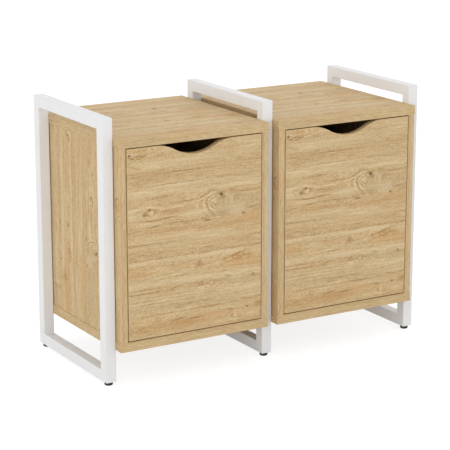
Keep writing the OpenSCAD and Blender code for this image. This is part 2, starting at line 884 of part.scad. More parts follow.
in_right_cabinet() top_panel();  // right_top_panel
in_right_cabinet() bottom_panel();  // right_bottom_panel
in_right_cabinet() outer_side();  // right_outer_side
in_right_cabinet() inner_side();  // right_inner_side
in_right_cabinet() back_panel();  // right_back_panel
in_right_cabinet() front_edging();  // right_front_edging
in_right_cabinet() side_edging();  // right_side_edging
in_right_cabinet() shelf();  // right_shelf
in_right_cabinet() shelf_pins();  // right_shelf_pins
in_right_cabinet() door();  // right_door
in_right_cabinet() door_edging();  // right_door_edging
in_right_cabinet() door_bushes();  // right_door_bushes
in_right_cabinet() pivot_pins();  // right_pivot_pins
in_right_cabinet() strike_plate();  // right_strike_plate
in_right_cabinet() color(zinc) at_strike_screws() small_screw();  // right_strike_screws
in_right_cabinet() catch_housing();  // right_catch_housing
in_right_cabinet() catch_magnet();  // right_catch_magnet

color(zinc) in_both_cabinets() at_catch_screws() small_screw();  // catch_screws
color(beech) in_both_cabinets() all_dowels();  // panel_dowels
color(zinc) in_both_cabinets() all_cam_locks();  // cam_locks
color(zinc) in_both_cabinets() all_cam_bolts();  // cam_bolts
color(zinc) in_both_cabinets() on_both_sides() at_bolt_places() frame_bolt();  // frame_bolts
color(black_plastic) in_both_cabinets() on_both_sides() at_bolt_places() frame_spacer();  // frame_spacers
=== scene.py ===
"""A pair of low oak-laminate cabinets hung between three white tube frames on levelling feet.

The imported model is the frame. Each class below dresses one sub-assembly of it, in metres.
"""

import logging
import math
from dataclasses import dataclass
from enum import Enum
from typing import Callable, Iterable, Sequence, Union

import bmesh
import bpy
from bmesh.types import BMEdge, BMesh, BMVert
from bpy.types import Material, Mesh, Node, NodeSocket, NodeTree, Object
from mathutils import Matrix, Vector


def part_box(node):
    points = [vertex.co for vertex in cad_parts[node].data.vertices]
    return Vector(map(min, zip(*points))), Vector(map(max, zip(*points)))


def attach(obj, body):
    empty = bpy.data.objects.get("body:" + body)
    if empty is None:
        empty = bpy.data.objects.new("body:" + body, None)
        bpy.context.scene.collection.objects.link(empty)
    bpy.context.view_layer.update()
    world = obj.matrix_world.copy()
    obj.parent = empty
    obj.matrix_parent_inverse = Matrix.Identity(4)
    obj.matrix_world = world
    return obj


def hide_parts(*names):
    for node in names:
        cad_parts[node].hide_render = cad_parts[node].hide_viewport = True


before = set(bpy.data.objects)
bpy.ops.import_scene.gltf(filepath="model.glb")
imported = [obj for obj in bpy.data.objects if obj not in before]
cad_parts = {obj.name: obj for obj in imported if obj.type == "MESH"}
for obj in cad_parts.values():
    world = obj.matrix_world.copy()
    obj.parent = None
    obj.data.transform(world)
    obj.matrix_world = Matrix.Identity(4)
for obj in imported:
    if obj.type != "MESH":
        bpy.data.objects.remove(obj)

log = logging.getLogger("cabinets")
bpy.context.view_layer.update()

MM = 0.001
CLOSE = 0.01 * MM
Value = Union[float, str, Sequence[float], NodeSocket]
Pair = tuple[float, float]
Triple = tuple[float, float, float]


class Axis(Enum):
    """An axis of the object's frame."""

    X = 0
    Y = 1
    Z = 2


class Side(Enum):
    """One of the two cabinets; the value is the sign of its x."""

    LEFT = -1
    RIGHT = 1

    @property
    def word(self) -> str:
        """The word that the side's node names start with."""
        return self.name.lower()


class Slot(Enum):
    """The names of the record's material slots for the new pieces; they are passed along, but nothing here
    reads them.
    """

    FRAME = "white_powder_coat"
    BLACK = "black_plastic"
    EDGING = "oak_edging"
    OAK = "oak_laminate"
    WHITE = "white_plastic"
    ZINC = "zinc_steel"


class Crease(Enum):
    """The angle in degrees past which an edge is sharp, on each kind of piece."""

    DOOR = 20.0
    BOARD = 25.0
    GROWN = 32.0
    MOULDED = 40.0


# Node trees


class Bench:
    """Adds nodes to one tree and joins them."""

    def __init__(self, tree: NodeTree) -> None:
        """Takes the tree to work in."""
        self.tree = tree

    def add(self, kind: str, **settings: object) -> Node:
        """Adds a node.

        Args:
            kind: the node's type.
            settings: attributes to set on it.

        Returns:
            The node.
        """
        node = self.tree.nodes.new(kind)
        for key, value in settings.items():
            setattr(node, key, value)
        return node

    def feed(self, socket: NodeSocket, value: Value) -> None:
        """Links a socket to an input, or sets the input's own value.

        Args:
            socket: the input.
            value: another node's output, or a plain value.
        """
        if isinstance(value, NodeSocket):
            self.tree.links.new(value, socket)
        else:
            socket.default_value = value

    def fill(self, node: Node, values: dict[str, Value]) -> Node:
        """Feeds a node's inputs by name.

        Args:
            node: the node.
            values: what goes into each named input.

        Returns:
            The same node.
        """
        for name, value in values.items():
            self.feed(node.inputs[name], value)
        return node

    def wire(self, node: Node, *values: Value) -> Node:
        """Feeds a node's first inputs in their order.

        Args:
            node: the node.
            values: what goes into them.

        Returns:
            The same node.
        """
        for socket, value in zip(node.inputs, values):
            self.feed(socket, value)
        return node

    def make(self, kind: str, values: dict[str, Value]) -> Node:
        """Adds a node and feeds its inputs by name."""
        return self.fill(self.add(kind), values)

    def math(self, operation: str, *values: Value) -> NodeSocket:
        """Adds a Math node on the values and returns its output."""
        return self.wire(self.add("ShaderNodeMath", operation=operation), *values).outputs[0]

    def vector(self, x: Value, y: Value, z: Value) -> NodeSocket:
        """Joins three numbers to a vector."""
        return self.wire(self.add("ShaderNodeCombineXYZ"), x, y, z).outputs[0]

    def noise(self, vector: Value, detail: float, roughness: float, scale: Value = 1.0) -> NodeSocket:
        """Adds a noise texture over a vector and returns its grey value."""
        values = {"Vector": vector, "Scale": scale, "Detail": detail, "Roughness": roughness}
        return self.make("ShaderNodeTexNoise", values).outputs[0]

    def step(self, value: Value, low: float, high: float, to_low: float = 0.0,
             to_high: float = 1.0) -> NodeSocket:
        """Maps a value smoothly from low..high to to_low..to_high."""
        node = self.add("ShaderNodeMapRange", interpolation_type="SMOOTHSTEP")
        return self.wire(node, value, low, high, to_low, to_high).outputs[0]

    def mix(self, factor: Value, first: Value, second: Value) -> NodeSocket:
        """Mixes two colours.

        Args:
            factor: the share of the second colour.
            first: the first colour.
            second: the second colour.

        Returns:
            The mixed colour.
        """
        node = self.add("ShaderNodeMix", data_type="RGBA")
        for index, value in zip((0, 6, 7), (factor, first, second)):
            self.feed(node.inputs[index], value)
        return node.outputs[2]

    def ramp(self, value: Value, stops: Sequence[tuple[float, "Colour"]]) -> NodeSocket:
        """Adds a colour ramp.

        Args:
            value: the place on the ramp, from 0 to 1.
            stops: each stop's place and colour.

        Returns:
            The colour at that place.
        """
        node = self.add("ShaderNodeValToRGB")
        elements = node.color_ramp.elements
        while len(elements) < len(stops):
            elements.new(0.5)
        for element, (place, colour) in zip(elements, stops):
            element.position = place
            element.color = colour.linear()
        return self.wire(node, value).outputs[0]

    def bump(self, height: Value, strength: float, distance: float) -> NodeSocket:
        """Turns a height into a normal."""
        values = {"Strength": strength, "Distance": distance, "Height": height}
        return self.make("ShaderNodeBump", values).outputs[0]

    def group(self, tree: NodeTree, values: dict[str, Value]) -> Node:
        """Places a node group with its own values and returns the node."""
        return self.fill(self.add("ShaderNodeGroup", node_tree=tree), values)


@dataclass(frozen=True)
class Colour:
    """A colour as it is seen on a screen, each channel from 0 to 255."""

    red: float
    green: float
    blue: float

    def linear(self) -> tuple[float, float, float, float]:
        """Turns the colour into linear light.

        Returns:
            The three channels and a full alpha.
        """
        channels = []
        for channel in (self.red, self.green, self.blue):
            c = channel / 255
            channels.append(c / 12.92 if c <= 0.04045 else ((c + 0.055) / 1.055) ** 2.4)
        return (*channels, 1.0)


def new_group(name: str, inputs: dict[str, str], outputs: dict[str, str],
              kind: str = "ShaderNodeTree") -> tuple[Bench, Node, Node]:
    """Makes an empty node group with its sockets.

    Args:
        name: the group's name.
        inputs: input names and the end of their socket type, such as Float.
        outputs: the same for the outputs.
        kind: the tree's type.

    Returns:
        A bench on the group, its input node and its output node.
    """
    tree = bpy.data.node_groups.new(name, kind)
    for direction, sockets in (("INPUT", inputs), ("OUTPUT", outputs)):
        for label, socket in sockets.items():
            tree.interface.new_socket(name=label, in_out=direction, socket_type=f"NodeSocket{socket}")
    bench = Bench(tree)
    return bench, bench.add("NodeGroupInput"), bench.add("NodeGroupOutput")


@dataclass(frozen=True)
class Layer:
    """Noise with so many waves a metre along the grain and across it, which lean by a slant.

    The weight says how much of it goes into the grain's tone.
    """

    along: float
    across: float
    seed: float
    weight: float = 0.0
    detail: float = 2.0
    roughness: float = 0.6
    slant: float = 0.0

    def over(self, bench: Bench, along: Value, across: Value, seed: Value) -> NodeSocket:
        """Lays the noise over a place on the print.

        Args:
            bench: the tree's bench.
            along: the place along the grain.
            across: the place across it.
            seed: the board's own seed.

        Returns:
            The noise about 0.
        """
        leaned = bench.math("MULTIPLY_ADD", across, self.slant, along)
        spread = bench.math("MULTIPLY", across, self.across)
        where = bench.vector(bench.math("MULTIPLY", leaned, self.along), spread,
                             bench.math("ADD", seed, self.seed))
        return bench.math("SUBTRACT", bench.noise(where, self.detail, self.roughness), 0.5)


STREAK = Layer(6.0, 180.0, 9.0, weight=0.52, detail=3.0)
TONE_LAYERS = (
    Layer(2.0, 15.0, 0.0, weight=0.30),
    Layer(3.0, 60.0, 5.0, weight=0.34),
    STREAK,
    Layer(5.0, 420.0, 23.0, weight=0.46),
    Layer(34.0, 260.0, 15.0, weight=0.64),
    Layer(150.0, 330.0, 19.0, weight=1.00, slant=0.8),
)
PORE = Layer(60.0, 1300.0, 13.0)
BROAD_CLOUD = Layer(2.5, 22.0, 27.0)
FINE_CLOUD = Layer(9.0, 110.0, 21.0)
SWAY = Layer(3.2, 9.0, 31.0, roughness=0.5)
FRAY = Layer(70.0, 110.0, 37.0, detail=3.0, roughness=0.55)
SWIRL = Layer(26.0, 34.0, 43.0, detail=1.0, roughness=0.5)

MIDDLE_TONE = 0.53
OAK_TONES = ((0.08, Colour(166, 133, 88)), (0.32, Colour(189, 158, 114)), (0.50, Colour(203, 175, 131)),
             (0.68, Colour(213, 188, 146)), (0.92, Colour(222, 200, 162)))
WARM_OAK = Colour(200, 150, 92)
GREY_OAK = Colour(186, 172, 143)
PORE_BROWN = Colour(150, 120, 80)
KNOT_BROWN = Colour(106, 74, 42)


def fade_out(bench: Bench, along: NodeSocket, across: NodeSocket) -> Sequence[NodeSocket]:
    """Fades from 1 in a spot's middle to nothing well past its edge.

    Args:
        bench: the tree's bench.
        along: the way from the middle along the grain, in half lengths.
        across: the way across it, in half widths.

    Returns:
        The fade, and the square of the way from the middle.
    """
    square = bench.math("MULTIPLY_ADD", along, along, bench.math("MULTIPLY", across, across))
    return bench.math("EXPONENT", bench.math("MULTIPLY", square, -1.0)), square


def build_knot_group() -> NodeTree:
    """A knot of the print, added to those before it: the grain parts round it and rings lie in it.

    Rings that open to one side fade out on that side.

    Returns:
        The group, which puts out the running values of the grain's shift and tone.
    """
    floats = ("Along", "Across", "Centre Along", "Centre Across", "Half Length", "Half Width",
              "Part", "Ring", "Turns", "Open", "Shift", "Tone")
    bench, given, made = new_group("oak_knot", dict.fromkeys(floats, "Float"),
                                   dict.fromkeys(floats[-2:], "Float"))
    put = given.outputs
    off = bench.math("SUBTRACT", put["Along"], put["Centre Along"])
    along = bench.math("DIVIDE", off, put["Half Length"])
    away = bench.math("SUBTRACT", put["Across"], put["Centre Across"])
    near, square = fade_out(bench, along, bench.math("DIVIDE", away, put["Half Width"]))
    soft = bench.math("MULTIPLY", put["Half Width"], 0.35)
    root = bench.math("SQRT", bench.math("MULTIPLY_ADD", away, away, bench.math("MULTIPLY", soft, soft)))
    parted = bench.math("MULTIPLY", bench.math("DIVIDE", away, root), put["Part"])
    wave = bench.math("SINE", bench.math("MULTIPLY", bench.math("SQRT", square), put["Turns"]))
    fade = bench.math("EXPONENT", bench.math("MULTIPLY", along, bench.math("MULTIPLY", put["Open"], 4.0)))
    rings = bench.math("DIVIDE", bench.math("MULTIPLY", wave, put["Ring"]), bench.math("ADD", fade, 1.0))
    moved = bench.math("MULTIPLY", parted, near)
    bench.feed(made.inputs["Shift"], bench.math("SUBTRACT", put["Shift"], moved))
    bench.feed(made.inputs["Tone"], bench.math("MULTIPLY_ADD", rings, near, put["Tone"]))
    return bench.tree


def build_mark_group() -> NodeTree:
    """A soft mark of the print, added to those before it.

    Returns:
        The group, which puts out the running values of tone, warmth and brown heart.
    """
    floats = ("Along", "Across", "Centre Along", "Centre Across", "Half Length", "Half Width", "Slant",
              "Lighter", "Warmer", "Browner", "Tone", "Warm", "Heart")
    bench, given, made = new_group("oak_mark", dict.fromkeys(floats, "Float"),
                                   dict.fromkeys(floats[-3:], "Float"))
    put = given.outputs
    off = bench.math("SUBTRACT", put["Along"], put["Centre Along"])
    rise = bench.math("MULTIPLY_ADD", off, put["Slant"], put["Centre Across"])
    along = bench.math("DIVIDE", off, put["Half Length"])
    across = bench.math("DIVIDE", bench.math("SUBTRACT", put["Across"], rise), put["Half Width"])
    near, _ = fade_out(bench, along, across)
    for strength, value in (("Lighter", "Tone"), ("Warmer", "Warm"), ("Browner", "Heart")):
        bench.feed(made.inputs[value], bench.math("MULTIPLY_ADD", near, put[strength], put[value]))
    return bench.tree


def build_figure_group() -> NodeTree:
    """The oak print: broad bands, streaks, slanting flecks and pores, from a place along and across it.

    Returns:
        The group, which puts out a colour, a roughness and a height.
    """
    floats = ("Along", "Across", "Tone", "Warm", "Heart", "Seed", "Contrast")
    bench, given, made = new_group("oak_figure", dict.fromkeys(floats, "Float"),
                                   {"Colour": "Color", "Roughness": "Float", "Height": "Float"})
    put = given.outputs
    where = (put["Along"], put["Across"], put["Seed"])
    noises = {layer: layer.over(bench, *where) for layer in TONE_LAYERS}
    tone = bench.math("ADD", put["Tone"], MIDDLE_TONE)
    for layer, noise in noises.items():
        tone = bench.math("MULTIPLY_ADD", noise, bench.math("MULTIPLY", put["Contrast"], layer.weight), tone)
    fine = bench.math("MULTIPLY", FINE_CLOUD.over(bench, *where), 0.8)
    clouds = bench.math("ADD", BROAD_CLOUD.over(bench, *where), fine)
    warmth = bench.math("MULTIPLY_ADD", clouds, 2.1, put["Warm"])
    dash = bench.step(PORE.over(bench, *where), 0.10, 0.20, 0.0, 0.20)
    wood = bench.ramp(tone, OAK_TONES)
    for share, colour in ((bench.step(warmth, 0.0, 1.3, 0.02, 0.56), WARM_OAK),
                          (bench.step(warmth, 0.0, -1.3, 0.0, 0.55), GREY_OAK),
                          (dash, PORE_BROWN), (put["Heart"], KNOT_BROWN)):
        wood = bench.mix(share, wood, colour.linear())
    streak = noises[STREAK]
    bench.feed(made.inputs["Colour"], wood)
    bench.feed(made.inputs["Roughness"], bench.math("MULTIPLY_ADD", streak, 0.3, 0.5))
    sunk = bench.math("MULTIPLY", dash, -1.0)
    bench.feed(made.inputs["Height"], bench.math("MULTIPLY_ADD", streak, 0.6, sunk))
    return bench.tree


def build_mottle_group() -> NodeTree:
    """Fine unevenness of a coated, moulded or plated surface.

    Returns:
        The group: from Object coordinates, a peel's scale and a cloud's scale it puts out a
        height and a slow mask from 0 to 1.
    """
    bench, given, made = new_group("fine_mottle", {"Vector": "Vector", "Peel": "Float", "Cloud": "Float"},
                                   {"Height": "Float", "Mask": "Float"})
    put = given.outputs
    bench.feed(made.inputs["Height"], bench.noise(put["Vector"], 3.0, 0.55, put["Peel"]))
    bench.feed(made.inputs["Mask"], bench.step(bench.noise(put["Vector"], 2.0, 0.5, put["Cloud"]), 0.3, 0.7))
    return bench.tree


class Groups:
    """The shader groups, each built once."""

    knot = build_knot_group()
    mark = build_mark_group()
    figure = build_figure_group()
    mottle = build_mottle_group()


# Finishes


def new_material(name: str) -> tuple[Material, Bench, Node]:
    """Makes a material with a bare Principled shader.

    Args:
        name: the material's name.

    Returns:
        The material, a bench on its tree and the shader.
    """
    material = bpy.data.materials.new(name)
    material.use_nodes = True
    return material, Bench(material.node_tree), material.node_tree.nodes["Principled BSDF"]


@dataclass(frozen=True)
class PrintPlace:
    """Where something lies on the print, in millimetres along and across the grain."""

    along: float
    across: float
    half_length: float
    half_width: float

    def place(self) -> dict[str, Value]:
        """The place as the groups' own inputs, in metres."""
        return {"Centre Along": self.along * MM, "Centre Across": self.across * MM,
                "Half Length": self.half_length * MM, "Half Width": self.half_width * MM}


@dataclass(frozen=True)
class Knot(PrintPlace):
    """A knot or an eye of the print.

    The lines of the grain part round it by up to `part` millimetres, and it has light and dark rings of
    the strength `ring`, which fade on the far side where `open` is 1 and on the near side where it is -1.
    """

    part: float = 0.0
    ring: float = 0.0
    turns: float = 14.0
    open: float = 0.0

    def values(self) -> dict[str, Value]:
        """The knot group's own inputs."""
        return {**self.place(), "Part": self.part * MM, "Ring": self.ring / 50, "Turns": self.turns,
                "Open": self.open}


@dataclass(frozen=True)
class Mark(PrintPlace):
    """A patch, a streak, a line or a dot of the print.

    It is lighter or darker by `tone`, warmer or greyer by `warm` and browner by `dark`, all in per cent,
    and it rises by `slant` millimetres a millimetre.
    """

    tone: float = 0.0
    warm: float = 0.0
    dark: float = 0.0
    slant: float = 0.0

    def values(self) -> dict[str, Value]:
        """The mark group's own inputs."""
        return {**self.place(), "Slant": self.slant, "Lighter": self.tone / 100, "Warmer": self.warm / 100,
                "Browner": self.dark / 100}


@dataclass(frozen=True)
class Sheet:
    """How the print lies on a board: a place on it is the board's own place times a scale, plus a start."""

    along_scale: float = 1.0
    along_start: float = 0.0
    across_scale: float = 1.0
    across_start: float = 0.0


@dataclass(frozen=True)
class OakLaminate:
    """Matt oak print on board. It reads the piece's own grain map, in metres.

    The print is in planks, with another figure past each seam. The low IOR keeps the matt face from
    paling where it is seen at a flat angle.
    """

    name: str
    knots: tuple[Knot, ...] = ()
    marks: tuple[Mark, ...] = ()
    sheet: Sheet = Sheet()
    contrast: float = 1.0
    seed: float = 0.0
    waviness: float = 0.010
    seams: tuple[float, ...] = (0.3285, 0.2515, 0.1805)
    seam_seed: float = 7.3
    fray: Pair = (0.014, -0.004)
    swirl: Pair = (0.045, 0.025)
    ior: float = 1.18

    def material(self) -> Material:
        """Builds the material.

        Returns:
            The material.
        """
        material, bench, shader = new_material(self.name)
        parts = bench.add("ShaderNodeSeparateXYZ")
        x, y, _ = bench.wire(parts, bench.add("ShaderNodeUVMap", uv_map="grain").outputs[0]).outputs
        along = bench.math("MULTIPLY_ADD", x, self.sheet.along_scale, self.sheet.along_start)
        across = bench.math("MULTIPLY_ADD", y, self.sheet.across_scale, self.sheet.across_start)
        running = self.print_values(bench, along, across)
        plank_seed: Value = self.seed
        for seam in self.seams:
            past = bench.math("GREATER_THAN", across, seam)
            plank_seed = bench.math("MULTIPLY_ADD", past, self.seam_seed, plank_seed)
        shifted = bench.math("ADD", across, running.pop("Shift"))
        figure = bench.group(Groups.figure, {**running, "Along": along, "Across": shifted,
                                             "Seed": plank_seed, "Contrast": self.contrast}).outputs
        bench.fill(shader, {"Base Color": figure["Colour"], "Roughness": figure["Roughness"],
                            "Normal": bench.bump(figure["Height"], 0.25, 0.0002), "IOR": self.ior})
        return material

    def print_values(self, bench: Bench, along: Value, across: Value) -> dict[str, Value]:
        """Adds the knots, whose rings swirl, and the marks, whose edges fray.

        Args:
            bench: the material's bench.
            along: the place along the grain.
            across: the place across it.

        Returns:
            The tone, the warmth, the brown heart and the shift of the grain.
        """
        sway, rough, slow = (layer.over(bench, along, across, self.seed) for layer in (SWAY, FRAY, SWIRL))
        frayed = {"Along": bench.math("MULTIPLY_ADD", rough, self.fray[0], along),
                  "Across": bench.math("MULTIPLY_ADD", rough, self.fray[1], across)}
        swirled = {label: bench.math("MULTIPLY_ADD", slow, reach, frayed[label])
                   for label, reach in zip(frayed, self.swirl)}
        running: dict[str, Value] = {"Tone": 0.0, "Warm": 0.0, "Heart": 0.0,
                                     "Shift": bench.math("MULTIPLY", sway, self.waviness * 4)}
        for tree, place, spots in ((Groups.knot, swirled, self.knots), (Groups.mark, frayed, self.marks)):
            for spot in spots:
                node = bench.add("ShaderNodeGroup", node_tree=tree)
                before = {label: value for label, value in running.items() if label in node.outputs}
                bench.fill(node, {**place, **spot.values(), **before})
                running.update({label: node.outputs[label] for label in before})
        return running


@dataclass(frozen=True)
class CoatedFinish:
    """A coated, moulded or plated surface with a fine peel and slow clouds in its gloss."""

    name: str
    colour: Colour
    cloud_colour: Colour
    metallic: float = 0.0
    gloss: Pair = (0.4, 0.5)
    peel: float = 900.0
    cloud: float = 25.0
    depth: float = 0.0001

    def material(self) -> Material:
        """Builds the material.

        Returns:
            The material.
        """
        material, bench, shader = new_material(self.name)
        place = bench.add("ShaderNodeTexCoord").outputs["Object"]
        mottle = bench.group(Groups.mottle, {"Vector": place, "Peel": self.peel, "Cloud": self.cloud})
        mask = mottle.outputs["Mask"]
        bench.fill(shader, {
            "Base Color": bench.mix(mask, self.colour.linear(), self.cloud_colour.linear()),
            "Roughness": bench.step(mask, 0.0, 1.0, *self.gloss), "Metallic": self.metallic,
            "Normal": bench.bump(mottle.outputs["Height"], 0.3, self.depth)})
        return material


@dataclass(frozen=True)
class BeechFinish:
    """Turned beech with short flecks along a dowel."""

    name: str = "turned_beech"
    fleck_scale: float = 700.0
    tones: tuple[Colour, Colour] = (Colour(186, 146, 100), Colour(216, 180, 134))

    def material(self) -> Material:
        """Builds the material.

        Returns:
            The material.
        """
        material, bench, shader = new_material(self.name)
        place = bench.add("ShaderNodeTexCoord").outputs["Object"]
        flecks = bench.noise(place, 4.0, 0.6, self.fleck_scale)
        colour = bench.ramp(flecks, list(zip((0.35, 0.65), self.tones)))
        bench.fill(shader, {"Base Color": colour, "Roughness": bench.step(flecks, 0.3, 0.7, 0.5, 0.65),
                            "Normal": bench.bump(flecks, 0.3, 0.0001)})
        return material


ENDLESS = 9000


def plank(across: float, half_width: float, tone: float, warm: float = 0.0) -> Mark:
    """A level band of the print that runs on past the board's ends."""
    return Mark(0, across, ENDLESS, half_width, tone, warm)


